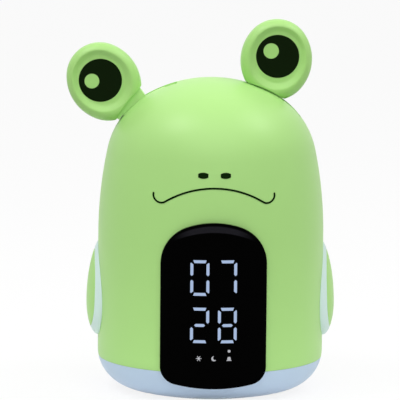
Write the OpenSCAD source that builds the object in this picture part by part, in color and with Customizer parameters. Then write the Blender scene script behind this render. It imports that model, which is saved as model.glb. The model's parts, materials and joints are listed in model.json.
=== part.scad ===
// Frog-shaped alarm clock with night light.
// Origin: on the table under the body's axis. Z is up and the face looks towards -Y.
// The body is a solid of revolution. The two eyes are levers that tilt outwards.

/* [Body] */
// Radius of the straight part of the body
body_r = 53; // [51:0.5:58]
// Radius of the rounded lower edge
corner_r = 18; // [16:0.5:20]
// Height at which the wall starts to lean inwards
side_z = 73; // [70:1:78]
// Radius of the long arc of the leaning wall
side_arc_r = 194; // [170:2:220]
// Angle over which the wall leans inwards
side_arc_deg = 11.9; // [11:0.1:13]
// Radius of the shoulder
shoulder_arc_r = 38.8; // [38:0.1:41]
// Angle at which the shoulder passes into the crown
shoulder_arc_deg = 61.6; // [59:0.2:64]
// Wall thickness of the body and the base
wall = 2.4; // [2:0.1:2.8]
// Height of the seam between the body and the base
seam_z = 15.3; // [14:0.1:16.5]

/* [Base] */
// Height that the foot stands below the base
foot_h = 0.6; // [0.4:0.1:1]
// Distance between the battery door and the foot ring
foot_land = 1.8; // [1.4:0.1:2.2]
// Width of the foot ring
foot_w = 2.6; // [2:0.1:2.8]
// Depth of the groove that holds the foot ring
foot_groove = 0.8; // [0.5:0.1:1.2]
// Thickness of the base's floor
floor_t = 3.2; // [2.8:0.1:3.6]
// Distance of the body screws outwards from the foot ring
post_land = 4.3; // [4:0.1:5]
// Radius of the screw posts
post_r = 3.6; // [3.2:0.1:3.8]

/* [Battery] */
// Diameter of a battery cell
cell_d = 10.4; // [10:0.1:10.5]
// Length of a battery cell's body
cell_l = 43.3; // [42:0.1:44]
// Distance between the cells' axes
cell_pitch = 11; // [10.8:0.1:11.2]
// Radius of the battery door
door_r = 29.8; // [29.4:0.1:30.2]
// Thickness of the battery door
door_t = 1.4; // [1.2:0.1:1.6]
// Turn of the battery door between locked and free
door_turn = 30; // [24:1:34]

/* [Display] */
// Half width of the lens
lens_half_w = 24.4; // [23.5:0.1:25]
// Height of the lens's top edge
lens_top = 85.1; // [83:0.1:88]
// Radius of the arch across the lens's top
lens_arch_r = 36; // [34:0.5:40]
// Radius of the lens's upper corners
lens_shoulder_r = 18.5; // [16:0.5:20]
// Height of the lens's lowest edge
lens_bottom = 8.4; // [7.6:0.1:9.5]
// Radius of the arc across the lens's bottom
lens_sole_r = 92; // [80:1:110]
// Radius of the lens's lower corners
lens_corner_r = 8; // [6:0.5:10]
// How far the lens stands proud of the body
lens_proud = 1.5; // [1.2:0.1:2]
// Width of a digit
digit_w = 9.06; // [8.4:0.02:9.4]
// Height of a digit
digit_h = 16.8; // [15.6:0.1:17.4]
// Width of a digit's stroke
stroke_w = 1.75; // [1.5:0.05:2]
// Distance between the two digits of a row
digit_pitch = 12.54; // [12.2:0.02:13]
// Height of the middle of the hours
hours_z = 59.9; // [59:0.1:61]
// Height of the middle of the minutes
minutes_z = 38; // [37:0.1:39]
// Height of the row of signs
signs_z = 22.6; // [22.3:0.1:23.6]
// Distance between neighbouring signs
sign_pitch = 6.95; // [6.4:0.05:7.4]
// Height of the alarm dot
dot_z = 26.05; // [25.8:0.05:26.6]
// Radius of the alarm dot
dot_r = 0.65; // [0.5:0.05:0.9]

/* [Face] */
// Height of the top of the mouth line
mouth_z = 100.65; // [98:0.1:103]
// Distance of each curl's centre from the middle
mouth_half_w = 24.3; // [22:0.1:26]
// Radius of the curls at the mouth's ends
curl_r = 3.45; // [3:0.05:4]
// Drop from the top of the mouth to the curls' centres
curl_drop = 3.75; // [3:0.05:4.5]
// Width of the mouth line
mouth_line_w = 0.8; // [0.6:0.05:1]
// Height of the nostrils
nostril_z = 106.4; // [105:0.1:108]
// Distance of each nostril from the middle
nostril_x = 5.15; // [4.5:0.05:6]

/* [Eyes] */
// Distance of each eye's pivot from the middle
pivot_x = 20.1; // [19.8:0.1:21]
// Height of the eyes' pivots
pivot_z = 111; // [110:0.1:112]
// Lean of the neck from upright when the eye is in its home place
eye_lean = 5.9; // [5:0.1:7]
// Angle that an eye tilts outwards from its home place
eye_tilt = 29.8; // [24:0.1:30]
// Distance from the pivot to the eye's centre along the neck
eye_rise = 44.9; // [44:0.1:46]
// Distance of the eye's centre outwards from the neck's axis
eye_shift = 5.3; // [4.8:0.1:5.8]
// Half length of the eye's outline
eye_half_l = 18.95; // [18.4:0.05:19.4]
// Half width of the eye's outline
eye_half_w = 16.7; // [16.2:0.05:17]
// Depth of the eye in front of its middle plane
eye_front_t = 6; // [5.6:0.1:6.6]
// Depth of the eye behind its middle plane
eye_back_t = 6.5; // [6.2:0.1:7]
// Radius of the rolled edges of the eye
eye_roll_r = 5; // [4:0.1:5.4]
// Depth of the dish in the eye's front
dish_depth = 1.8; // [1.4:0.1:2]
// Radius of the pupil
pupil_r = 9.9; // [9.4:0.1:10]
// Radius of the glint inside the pupil
glint_r = 3.7; // [3.2:0.1:4]
// Width of the neck that carries the eye
neck_w = 13.5; // [12.5:0.1:14]
// Thickness of the neck from front to back
neck_t = 7.2; // [6.8:0.1:7.6]
// Radius of the pivot pin
pin_r = 2; // [1.8:0.1:2.4]
// Running clearance between a pin and its bore
pin_fit = 0.05; // [0.03:0.01:0.08]
// Gap between the home eye and the head
eye_gap = 0.45; // [0.35:0.05:0.7]

/* [Sides] */
// How far the side pads stand out from the body
wing_out = 5.5; // [5.2:0.1:6]
// Height of their outermost line
wing_z = 40.5; // [39:0.1:42]
// Height of the side form above that line
wing_up = 27.3; // [26.5:0.1:28.5]
// Depth of the side form below that line
wing_down = 17.8; // [17:0.1:18.4]
// Half width of the side form where the body is widest
wing_half_w = 13.3; // [12.8:0.1:14]
// Angle between the side form's flank and the body
flank_deg = 36; // [34:1:38]
// Radius of the shoulder between its flank and its face
wing_shoulder_r = 4; // [3:0.1:4.2]
// Radius of its crowned face
wing_face_r = 100; // [90:1:120]
// How far the ring reaches out under the pad
ring_out = 2.3; // [2:0.1:2.7]
// Lean of the joint between ring and pad
ring_lean = 2; // [0:0.5:3]
// Width of the window in the body behind each ring
window_w = 17; // [14:0.5:18]
// Height of that window
window_h = 26; // [22:0.5:28]

/* [Rear] */
// Half width of the rear panel
panel_half_w = 25; // [24:0.1:26]
// Height of the rear panel's lower edge
panel_bottom = 22; // [21.8:0.1:23]
// Height of the rear panel's upper edge
panel_top = 84; // [83:0.5:88]
// Radius of a button
button_r = 4; // [3.6:0.1:4.2]
// Distance between neighbouring buttons
button_pitch = 12; // [11.6:0.1:12.4]
// Height of the row of buttons
button_z = 38; // [37:0.1:38.6]
// How far a button can be pressed
button_travel = 1; // [0.6:0.1:1.1]
// Radius of the loudspeaker
speaker_r = 16; // [15:0.1:16.4]
// Height of the loudspeaker's axis
speaker_z = 64; // [63.4:0.1:65]
// Radius of a sound hole
sound_hole_r = 1.1; // [0.8:0.1:1.3]
// Distance between the rings of sound holes
sound_pitch = 4; // [3.6:0.1:4.2]
// Width of the power inlet's opening
inlet_w = 8.9; // [8.4:0.1:9.2]
// Height of the power inlet's opening
inlet_h = 3.2; // [2.8:0.1:3.4]

/* [Hidden] */
$fa = 4;
$fs = 0.5;

leaf = [0.68, 0.86, 0.53];
leaf_dark = [0.63, 0.81, 0.47];
sky = [0.67, 0.75, 0.83];
mint = [0.8, 0.89, 0.86];
ink = [0.06, 0.11, 0.05];
gloss_black = [0.02, 0.02, 0.02];
lamp_white = [0.85, 0.9, 1];
chalk = [0.9, 0.9, 0.88];
board_green = [0.1, 0.4, 0.25];
steel = [0.7, 0.7, 0.72];
rubber_grey = [0.35, 0.37, 0.4];

// Clearances shared by all the pieces
seat_gap = 0.1;
slip_gap = 0.2;
free_gap = 0.35;
big = 200;

// Arcs of the body's outline
side_c = [body_r - side_arc_r, side_z];
shoulder_c = side_c + (side_arc_r - shoulder_arc_r) * [cos(side_arc_deg), sin(side_arc_deg)];
crown_arc_r = shoulder_arc_r + shoulder_c[0] / cos(shoulder_arc_deg);
crown_c = [0, shoulder_c[1] - shoulder_c[0] * tan(shoulder_arc_deg)];
inner_r = body_r - wall;
outer_lens_r = body_r + lens_proud;
foot_r = door_r + foot_land + foot_w;
post_at = foot_r + post_land;
front_y = -body_r - 5;

// Levels of the base, from the table up
floor_z = foot_h + floor_t;
door_z = foot_h + door_t;
mouth_r = door_r - 1.6;
lug_t = 1.2;
lug_deg = 16;
lug_in_r = mouth_r - 3.4;
lug_out_r = mouth_r + 1.5;
cup_wall = 1.8;
cell_z = floor_z + lug_t + 0.4 + cell_d / 2;
cup_top = cell_z + cell_d / 2 + slip_gap;
contact_x = cell_l / 2 + 3.2;
contact_w = 8;
contact_t = 0.45;
cup_r = max(lug_out_r + 0.8, norm([contact_x + contact_t, cell_pitch + contact_w / 2]) + 1);
board_t = 1.6;
board_z = cup_top + 6.6;
board_stand_at = 26;
lip_h = 4;
lip_t = 1.6;
screw_r = 1.45;
pilot_r = 1.5;
screw_head_r = 2.8;
screw_seat = 9.6;
post_top = seam_z + 19;

// Small screws that hold boards and brackets
small_r = 1;
small_pilot_r = 1.05;
small_hole_r = 1.25;
small_head_r = 2;
small_head_h = 1.4;

// Places of the display
box_half_w = digit_pitch / 2 + digit_w / 2 + 2.8;
box_low = signs_z - 2.2;
box_high = hours_z + digit_h / 2 + 2.8;
box_flange_w = box_half_w + 10;
box_flange_y = -(inner_r - 9.4);
box_flange_t = 1.8;
box_screw_x = box_flange_w - 3;
box_screw_z = [box_low + 6, box_high - 4];
box_screws = [for (s = [-1, 1], z = box_screw_z) [s * box_screw_x, z]];
leds_y = box_flange_y + box_flange_t - 0.1;
display_board_y = box_flange_y + box_flange_t + seat_gap / 2;
lit = ["abcdef", "abc", "abdeg", "abcdefg"];
sign_x = [-1, 0, 1] * sign_pitch + [0.25, 0.25, 0.25];
bar_fit = 0.03;

// Angles and reaches of the eyes' levers
neck_half = neck_w / 2;
slot_half_w = neck_half + free_gap;
slot_half_t = neck_t / 2 + free_gap;
hub_r = 6;
hub_half_t = 5.4;
cheek_t = 2.5;
cheek_y = hub_half_t + 0.4;
blade_half_w = neck_half - 1.2;
blade_t = neck_t / 2;
shield_margin = 1.5;
pivot = [pivot_x, pivot_z];
shield_r = shoulder_arc_r - wall - norm(pivot - shoulder_c) - 0.4;
shield_t = 1.6;
slot_in_deg = asin(slot_half_w / (shield_r + 6));
slot_out_deg = asin(slot_half_w / shield_r);
crest_dir = 90 - eye_lean + slot_in_deg;
crest_r = reach(pivot, crest_dir, crown_c, crown_arc_r - wall) - free_gap;
dish_half_l = eye_half_l - 3.75;
dish_half_w = eye_half_w - 2.8;
dish_at = [0.5, 1.6];
dish_slope = 3.6;
pupil_at = [0.8, 2.2];
pupil_t = 0.6;
glint_at = [3.3, 2.2];
eye_wall = 1.8;
dish_floor = eye_front_t - dish_depth;
cavity_front = dish_floor - pupil_t - 1.4;
eye_screw_at = [3.6, 36.2];
eye_screw_seat = eye_back_t - 1.4;

// Bracket inside the head that carries the levers
bracket_z = pivot_z - hub_r - 3;
plate_t = 2.5;
plate_half_l = pivot_x + hub_r + 3.9;
plate_half_w = 17;
bracket_screws_at = [for (x = [-14, 14], y = [-13, 13]) [x, y]];
brake_r = 1.6;

// Outline and section of the side forms
wing_x = body_r + wing_out;
wing_low_z = wing_z - wing_down + wing_half_w;
wing_side_r = 2 * (wing_z + wing_up - wing_low_z) - wing_half_w;
wing_side_y = wing_side_r - wing_half_w;
wing_tip_r = wing_side_r - 1.25 * wing_side_y;
wing_tip_z = wing_low_z + 0.75 * wing_side_y;
wing_blank = wing_out + 0.4;
shoulder_in = (wing_shoulder_r + (wing_blank - wing_shoulder_r) * cos(flank_deg)) / sin(flank_deg);
plug_x = inner_r - 5;
plug_wall = 1.6;
window_z = wing_low_z + (window_h - window_w) / 2;
lamp_x = plug_x - seat_gap;
lamp_h = 0.9;

// Places of the rear parts
panel_corner_r = 10;
panel_rim = 1.6;
panel_flange_t = 2;
panel_back = wall + seat_gap + panel_flange_t;
panel_back_r = body_r - panel_back;
button_x = [-1.5, -0.5, 0.5, 1.5] * button_pitch;
button_rim = 1;
button_flange_t = 1.2;
button_proud = 1.2;
switch_t = 3.5;
switch_half = 3;
switch_y = button_seat_y(3) - button_flange_t - button_travel - free_gap;
button_board_y = switch_y - switch_t - board_t;
button_board_half = 2.1 * button_pitch;
button_board_up = 7.9;
button_board_down = 9;
button_screws = [for (s = [-1, 1], z = [-6.6, 6.6]) [s * (button_board_half - 3.2), button_z + z]];
speaker_t = 4.6;
speaker_in = 15;
speaker_y = body_r - speaker_in;
speaker_ear_x = speaker_r + 3.6;
inlet_z = board_z + board_t + inlet_h / 2 + 0.7;
inlet_y = body_r - 8;
inlet_wall = 0.4;

// Parts on the main board, from its middle
chip_at = [-2, -2];
chip_half = 6;
chip_h = 1.4;
memory_at = [13, -2];
memory_half = [3, 4];
memory_h = 1.1;
cans_at = [[-20, 6], [-20, -6], [12, 14]];
can_r = 3;
can_h = 7;
socket_half_w = 7;
socket_at = 11.6;
socket_l = 4;
socket_h = 3;

// Mouth arc that touches both curls
mouth_r_mm = (mouth_half_w * mouth_half_w + curl_drop * curl_drop - curl_r * curl_r)
    / (2 * (curl_r + curl_drop));
mouth_c = [0, mouth_z - mouth_r_mm];
curl_c = [mouth_half_w, mouth_z - curl_drop];
curl_dir = atan2(curl_c[1] - mouth_c[1], curl_c[0]);
print_t = 0.35;
print_proud = 0.12;

// ---------- helpers ----------

// Distance from a point inside a circle to the circle, along a direction
function reach(p, dir, c, r) =
    let (d = [cos(dir), sin(dir)], b = (p - c) * d)
    sqrt(b * b - (p - c) * (p - c) + r * r) - b;

function polar(r, a) = [r * cos(a), r * sin(a)];

// Depth at which the key with this number rests against the inside of the rear panel
function button_seat_y(k) =
    sqrt(pow(panel_back_r, 2) - pow(abs(button_x[k]) + button_r + button_rim, 2)) - 0.15;

// Corners of a convex outline, anticlockwise, with each side moved outwards by d
function side_normal(p, q) = [q[1] - p[1], p[0] - q[0]] / norm(q - p);
function grown(pts, d) = [
    for (k = [0 : len(pts) - 1])
        let (
            n = len(pts),
            before = side_normal(pts[(k + n - 1) % n], pts[k]),
            after = side_normal(pts[k], pts[(k + 1) % n])
        )
        pts[k] + d * (before + after) / (1 + before * after)
];

// An arc is [centre x, centre y, radius, start angle, end angle]
function on_arc(arc, a, k = 1) = [arc[0], arc[1]] + polar(arc[2] * k, a);

function corners(items) = [
    for (i = items) each len(i) == 2 ? [i] : [on_arc(i, i[3]), on_arc(i, i[4])]
];

function distinct(pts) = [
    for (k = [0 : len(pts) - 1])
        if (norm(pts[k] - pts[(k + len(pts) - 1) % len(pts)]) > 0.001) pts[k]
];

function total(pts, k = 0) = k == len(pts) ? [0, 0] : pts[k] + total(pts, k + 1);

function first(item) = len(item) == 2 ? item : on_arc(item, item[3]);
function last(item) = len(item) == 2 ? item : on_arc(item, item[4]);

// Tangent arcs are drawn this much too large, so that they cross and don't just touch
function bulge(r) = 0.2 / (r + 10);

// Angle by which an arc runs on under a flatter neighbour that it meets at p
function run_on(arc, p, next_p, next_r) =
    (norm(next_p - p) < 0.001 ? arc[2] < next_r
        : abs((next_p - p) * (p - [arc[0], arc[1]])) < 0.01 * arc[2] * norm(next_p - p))
    ? min(15, 70 / arc[2]) : 0;
function radius_of(item) = len(item) == 2 ? 0 : item[2];

// Convex outline from a list of corner points and arcs, anticlockwise
module outline(items) {
    n = len(items);
    pts = distinct(corners(items));
    middle = total(pts) / len(pts);
    polygon(pts);
    for (k = [0 : n - 1])
        if (len(items[k]) == 5) {
            i = items[k];
            before = items[(k + n - 1) % n];
            after = items[(k + 1) % n];
            a0 = i[3] - run_on(i, first(i), last(before), radius_of(before));
            a1 = i[4] + run_on(i, last(i), first(after), radius_of(after));
            intersection() {
                translate([i[0], i[1]]) circle(r = i[2] + bulge(i[2]));
                polygon([
                    middle, on_arc(i, a0), on_arc(i, a0, 1.5),
                    on_arc(i, (a0 + a1) / 2, 1.5), on_arc(i, a1, 1.5), on_arc(i, a1)
                ]);
            }
        }
}

// Flat wedge with its tip at the origin
module wedge(r, a0, a1) {
    steps = ceil((a1 - a0) / 40);
    polygon([[0, 0], for (k = [0 : steps]) polar(r * 1.5, a0 + (a1 - a0) * k / steps)]);
}

module ring_sector(r0, r1, a0, a1) {
    intersection() {
        difference() {
            circle(r = r1);
            circle(r = r0);
        }
        wedge(r1, a0, a1);
    }
}

// Rounded bar with true half-round ends, lying along X
module slot_2d(length, height) {
    square([length - height, height], center = true);
    for (s = [-1, 1]) translate([s * (length - height) / 2, 0]) circle(d = height);
}

module rounded_rect(half_w, low, high, r) {
    outline([
        [half_w - r, low + r, r, -90, 0],
        [half_w - r, high - r, r, 0, 90],
        [r - half_w, high - r, r, 90, 180],
        [r - half_w, low + r, r, 180, 270]
    ]);
}

// Solid with an oval outline, half_l along Z and half_w along X, and its thickness along Y.
// Its four arcs meet at the angle of a 3-4-5 triangle, and the section reads $arc_r.
module oval_turn(half_l, half_w) {
    d = half_l - half_w;
    rotate([90, 0, 0]) {
        difference() {
            intersection() {
                turned(2 * half_l - half_w, -2 * d, 0) children();
                turned(2 * half_l - half_w, 2 * d, 0) children();
            }
            for (s = [-1, 1]) end_wedge(s, d);
        }
        for (s = [-1, 1])
            intersection() {
                turned(1.5 * half_w - 0.5 * half_l, 0, s * 1.5 * d) children();
                end_wedge(s, d);
            }
    }
}

module turned(r, x, y, start_deg = 0) {
    translate([x, y, 0]) rotate(start_deg) let ($arc_r = r) rotate_extrude() children();
}

module end_wedge(s, d) {
    far = ceil(eye_half_l / 1.5);
    translate([0, s * 1.5 * d, -2 * far])
        linear_extrude(4 * far)
            polygon([[0, 0], [4 * far, s * 3 * far], [-4 * far, s * 3 * far]]);
}

// Upright prism of an X-Z outline between two depths
module slab(y0, y1) {
    translate([0, y1, 0]) rotate([90, 0, 0]) linear_extrude(y1 - y0) children();
}

module rod_y(x, z, r, y0, y1) {
    slab(y0, y1) translate([x, z]) circle(r = r);
}

module tube_y(x, z, r0, r1, y0, y1) {
    difference() {
        rod_y(x, z, r1, y0, y1);
        rod_y(x, z, r0, y0 - 1, y1 + 1);
    }
}

module rod_z(x, y, r, z0, z1) {
    translate([x, y, z0]) cylinder(r = r, h = z1 - z0);
}

module block(x0, x1, y0, y1, z0, z1) {
    translate([x0, y0, z0]) cube([x1 - x0, y1 - y0, z1 - z0]);
}

module both_sides() {
    children();
    mirror([1, 0, 0]) children();
}

module on_side(side) {
    if (side < 0) mirror([1, 0, 0]) children();
    else children();
}

// Compression spring as a closed bellows of the same size, along +Z
module spring(r, wire, h, turns) {
    n = 2 * turns;
    out = [for (k = [0 : n]) [r - (k % 2) * wire, h * k / n]];
    in = [for (k = [n : -1 : 0]) [r - wire - (k % 2) * wire, h * k / n]];
    rotate_extrude() polygon(concat(out, in));
}

// Pan-head screw with its head's seat at the origin, pointing along +Z
module screw(head_r, head_h, r, length) {
    rod_z(0, 0, r, 0, length);
    difference() {
        rod_z(0, 0, head_r, -head_h, 0);
        for (a = [0, 90])
            rotate([0, 0, a])
                block(-head_r * 0.6, head_r * 0.6, -0.3, 0.3, -head_h - 1, -head_h * 0.45);
    }
}

// ---------- body ----------

// Right half of the body's upright section, moved in by inset
module body_half(inset) {
    outline([
        [0, foot_h + inset],
        [body_r - corner_r, foot_h + corner_r, corner_r - inset, -90, 0],
        [side_c[0], side_c[1], side_arc_r - inset, 0, side_arc_deg],
        [shoulder_c[0], shoulder_c[1], shoulder_arc_r - inset, side_arc_deg, shoulder_arc_deg],
        [crown_c[0], crown_c[1], crown_arc_r - inset, shoulder_arc_deg, 90]
    ]);
}

module body_solid(inset = 0) {
    rotate_extrude() body_half(inset);
}

// Prism of the head's outline as seen from the front
module head_prism(outset, half_t) {
    slab(-half_t, half_t) {
        body_half(-outset);
        mirror([1, 0]) body_half(-outset);
    }
}

module lens_outline(inset = 0) {
    top_x = lens_half_w - lens_shoulder_r;
    top_c = lens_top - lens_arch_r;
    top_z = top_c + sqrt(pow(lens_arch_r - lens_shoulder_r, 2) - top_x * top_x);
    top_a = acos(top_x / (lens_arch_r - lens_shoulder_r));
    low_x = lens_half_w - lens_corner_r;
    low_c = lens_bottom + lens_sole_r;
    low_z = low_c - sqrt(pow(lens_sole_r - lens_corner_r, 2) - low_x * low_x);
    low_a = acos(low_x / (lens_sole_r - lens_corner_r));
    outline([
        [low_x, low_z, lens_corner_r - inset, -low_a, 0],
        [top_x, top_z, lens_shoulder_r - inset, 0, top_a],
        [0, top_c, lens_arch_r - inset, top_a, 180 - top_a],
        [-top_x, top_z, lens_shoulder_r - inset, 180 - top_a, 180],
        [-low_x, low_z, lens_corner_r - inset, 180, 180 + low_a],
        [0, low_c, lens_sole_r - inset, 180 + low_a, 360 - low_a]
    ]);
}

module panel_outline(outset = 0) {
    rounded_rect(
        panel_half_w + outset, panel_bottom - outset, panel_top + outset,
        panel_corner_r + outset
    );
}

// Region that an eye's neck sweeps, as an X-Z outline on the right side
module neck_sweep_2d() {
    function swept(x, z, a) = pivot + [x * cos(a) + z * sin(a), z * cos(a) - x * sin(a)];
    far = body_r;
    polygon([
        swept(-slot_half_w, 0, eye_lean), swept(slot_half_w, 0, eye_lean + eye_tilt),
        swept(slot_half_w, far, eye_lean + eye_tilt), swept(-slot_half_w, far, eye_lean)
    ]);
}

module mouth_2d(w) {
    translate(mouth_c)
        ring_sector(mouth_r_mm - w / 2, mouth_r_mm + w / 2, curl_dir, 180 - curl_dir);
    for (s = [0, 1])
        mirror([s, 0])
            translate(curl_c) {
                ring_sector(curl_r - w / 2, curl_r + w / 2, 180 + curl_dir, 372);
                translate(polar(curl_r, 12)) circle(d = w);
            }
}

module nostrils_2d(grow) {
    for (s = [-1, 1])
        translate([s * nostril_x, nostril_z]) {
            slot_2d(4.4 + 2 * grow, 2.3 + 2 * grow);
            outline([[0, -3.3, 4.65 + grow, 60, 120], [0, 3.3, 4.65 + grow, 240, 300]]);
        }
}

// Thin layer that follows the front of the body
module face_layer(proud, depth) {
    intersection() {
        difference() {
            body_solid(-proud);
            body_solid(depth);
        }
        slab(front_y, -body_r / 2) children();
    }
}

module screw_posts() {
    for (a = [45 : 90 : 315])
        rotate([0, 0, a]) {
            rod_z(post_at, 0, post_r, seam_z + seat_gap, post_top);
            block(post_at, inner_r + 1, -1, 1, seam_z + lip_h + 0.6, post_top);
        }
}

module bracket_towers(r, z0) {
    for (p = bracket_screws_at) rod_z(p[0], p[1], r, z0, big);
}

module body_shell() color(leaf) {
    difference() {
        union() {
            difference() {
                body_solid();
                body_solid(wall);
            }
            screw_posts();
            intersection() {
                union() {
                    bracket_towers(3.4, bracket_z + seat_gap);
                    display_bosses();
                }
                body_solid(wall / 2);
            }
        }
        block(-big, big, -big, big, -1, seam_z + seat_gap / 2);
        for (a = [45 : 90 : 315])
            rotate([0, 0, a]) rod_z(post_at, 0, pilot_r, seam_z - 1, post_top - 3);
        bracket_pilots();
        display_pilots();
        slab(front_y, -body_r / 2)
            translate([0, (box_low + box_high) / 2])
                square([2 * (box_half_w + slip_gap), box_high - box_low + 2 * slip_gap], center = true);
        slab(body_r / 2, body_r + 5) panel_outline(0);
        both_sides() {
            slab(-slot_half_t, slot_half_t) neck_sweep_2d();
            along_x(plug_x, wing_x) window_outline(0);
        }
        face_layer(1, print_t + 0.05) {
            mouth_2d(mouth_line_w + 0.1);
            nostrils_2d(0.05);
        }
    }
}

module mouth_line() color(ink) {
    face_layer(print_proud, print_t) mouth_2d(mouth_line_w);
}

module nostrils() color(ink) {
    face_layer(print_proud, print_t) nostrils_2d(0);
}

// ---------- base ----------

module base_tray() color(sky) {
    difference() {
        union() {
            difference() {
                body_solid();
                intersection() {
                    body_solid(wall);
                    block(-big, big, -big, big, floor_z, big);
                }
                block(-big, big, -big, big, seam_z - seat_gap / 2, big);
            }
            difference() {
                union() {
                    intersection() {
                        body_solid(wall / 2);
                        rod_z(0, 0, body_r, seam_z - 3, seam_z - seat_gap / 2);
                    }
                    intersection() {
                        body_solid(wall + seat_gap);
                        rod_z(0, 0, body_r, seam_z - 2, seam_z + lip_h);
                    }
                }
                rod_z(0, 0, inner_r - seat_gap - lip_t, 0, big);
            }
            rod_z(0, 0, cup_r + cup_wall, floor_z - 1, cup_top + cup_wall);
            for (a = [45 : 90 : 315])
                rotate([0, 0, a]) rod_z(board_stand_at, 0, 2.6, cup_top, board_z - seat_gap);
            intersection() {
                for (a = [45 : 90 : 315])
                    rotate([0, 0, a]) rod_z(post_at, 0, post_r + 0.6, 0, seam_z - seat_gap / 2);
                body_solid(wall / 2);
            }
        }
        difference() {
            rod_z(0, 0, cup_r, floor_z, cup_top);
            for (s = [-1, 1])
                translate([s * (contact_x + 1.4), 0, 0])
                    block(-0.8, 0.8, -cup_r, cup_r, floor_z + lug_t + 0.6, cup_top + 1);
        }
        rod_z(0, 0, door_r + slip_gap, -1, door_z + seat_gap);
        rod_z(0, 0, mouth_r, -1, floor_z + 1);
        for (a = [0 : 120 : 240]) rotate([0, 0, a + door_turn]) lug(slip_gap, -1, floor_z + 1);
        translate([0, 0, -1])
            difference() {
                cylinder(r = foot_r + seat_gap, h = foot_h + foot_groove + 1);
                translate([0, 0, -1]) cylinder(r = foot_r - foot_w - seat_gap, h = 9);
            }
        for (a = [45 : 90 : 315])
            rotate([0, 0, a]) {
                rod_z(post_at, 0, screw_r + slip_gap, -1, seam_z + 1);
                rod_z(post_at, 0, screw_head_r + slip_gap, -1, screw_seat + seat_gap / 2);
                rod_z(board_stand_at, 0, small_pilot_r, cup_top + cup_wall + 0.5, board_z + 1);
            }
    }
}

module foot_ring() color(rubber_grey) {
    difference() {
        rod_z(0, 0, foot_r, 0, foot_h + foot_groove - seat_gap / 2);
        rod_z(0, 0, foot_r - foot_w, -1, foot_h + foot_groove + 1);
    }
}

// Bayonet lug of the battery door, or its notch when grown
module lug(grow, z0, z1) {
    intersection() {
        rotate([0, 0, -lug_deg / 2 - grow])
            rotate_extrude(angle = lug_deg + 2 * grow)
                translate([lug_in_r, z0]) square([lug_out_r - lug_in_r + grow, z1 - z0]);
        rod_z(0, 0, door_r + grow, z0 - 1, z1 + 1);
    }
}

module battery_door() color(sky) {
    difference() {
        union() {
            rod_z(0, 0, door_r, foot_h + 0.05, door_z);
            for (a = [0 : 120 : 240])
                rotate([0, 0, a]) {
                    lug(0, floor_z + seat_gap, floor_z + lug_t);
                    rotate([0, 0, -lug_deg / 2])
                        rotate_extrude(angle = lug_deg)
                            translate([lug_in_r, door_z - 0.5])
                                square([mouth_r - slip_gap - lug_in_r, floor_z + lug_t - door_z + 0.5]);
                }
        }
        rotate([0, 0, 45])
            translate([0, 0, foot_h - 1])
                linear_extrude(1 + door_t * 0.6) slot_2d(20, 2.4);
    }
}

module battery_cells() color(steel) {
    for (k = [-1, 0, 1])
        translate([0, k * cell_pitch, cell_z])
            rotate([0, k == 0 ? -90 : 90, 0]) {
                translate([0, 0, -cell_l / 2]) cylinder(d = cell_d, h = cell_l);
                translate([0, 0, cell_l / 2]) cylinder(r = 1.9, h = 1.2);
            }
}

module battery_contacts() color(steel) {
    for (k = [-1, 0, 1], s = [-1, 1]) {
        spring_end = (k == 0 ? 1 : -1) == s;
        translate([s * contact_x, k * cell_pitch, cell_z])
            rotate([0, s * 90, 0]) {
                translate([0, 0, 0.05]) linear_extrude(contact_t) square(contact_w, center = true);
                if (spring_end) translate([0, 0, -2.9]) spring(3.2, 0.5, 2.95, 4);
                else translate([0, 0, -1.7]) cylinder(r = 1.6, h = 1.8);
            }
    }
}

module base_screws() color(steel) {
    for (a = [45 : 90 : 315])
        rotate([0, 0, a])
            translate([post_at, 0, screw_seat])
                screw(screw_head_r, 2, screw_r, post_top - 6 - screw_seat);
}

// ---------- display ----------

module lens_blank(inset, r) {
    intersection() {
        slab(front_y, -body_r / 2) lens_outline(inset);
        rod_z(0, 0, r, 0, big);
    }
}

module lens() color(gloss_black) {
    difference() {
        lens_blank(0, outer_lens_r);
        body_solid(-0.05);
        slab(front_y, -body_r / 2) {
            digits_2d("lit", bar_fit);
            digits_2d("unlit", bar_fit);
            signs_2d(bar_fit);
            dot_2d(bar_fit);
        }
    }
}

// Upper half of a seven-segment digit: its top bar, its middle bar and its right upright.
// The other strokes are mirror images of these.
function top_bar(w, h, t) = [[w - 1.2, h], [1.2 - w, h], [t - w + 0.1, h - t], [w - t - 0.1, h - t]];

function middle_bar(w, t) =
    let (tip = w - t, flat = tip - t / 2)
    [[tip, 0], [flat, t / 2], [-flat, t / 2], [-tip, 0], [-flat, -t / 2], [flat, -t / 2]];

function upright(w, h, t) = [
    [w, h - 1.6], [w - 0.55, h - 1.1], [w - t, h - 2.1],
    [w - t, 1.5], [w - t / 2, 0.6], [w, 1.4]
];

// One stroke of a digit, centred on the digit, with its sides moved outwards by grow
module stroke_2d(name, grow) {
    w = digit_w / 2;
    h = digit_h / 2;
    left = len(search(name, "ef")) > 0 ? 1 : 0;
    low = len(search(name, "cde")) > 0 ? 1 : 0;
    mirror([left, 0])
        mirror([0, low])
            polygon(grown(
                name == "g" ? middle_bar(w, stroke_w)
                    : name == "a" || name == "d" ? top_bar(w, h, stroke_w) : upright(w, h, stroke_w),
                grow
            ));
}

// All strokes of one state in the window
module digits_2d(state, grow) {
    for (k = [0 : 3])
        translate([(k % 2 - 0.5) * digit_pitch, k < 2 ? hours_z : minutes_z])
            for (name = ["a", "b", "c", "d", "e", "f", "g"]) {
                on = len(search(name, lit[k])) > 0;
                if (on == (state == "lit")) stroke_2d(name, grow);
            }
}

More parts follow.
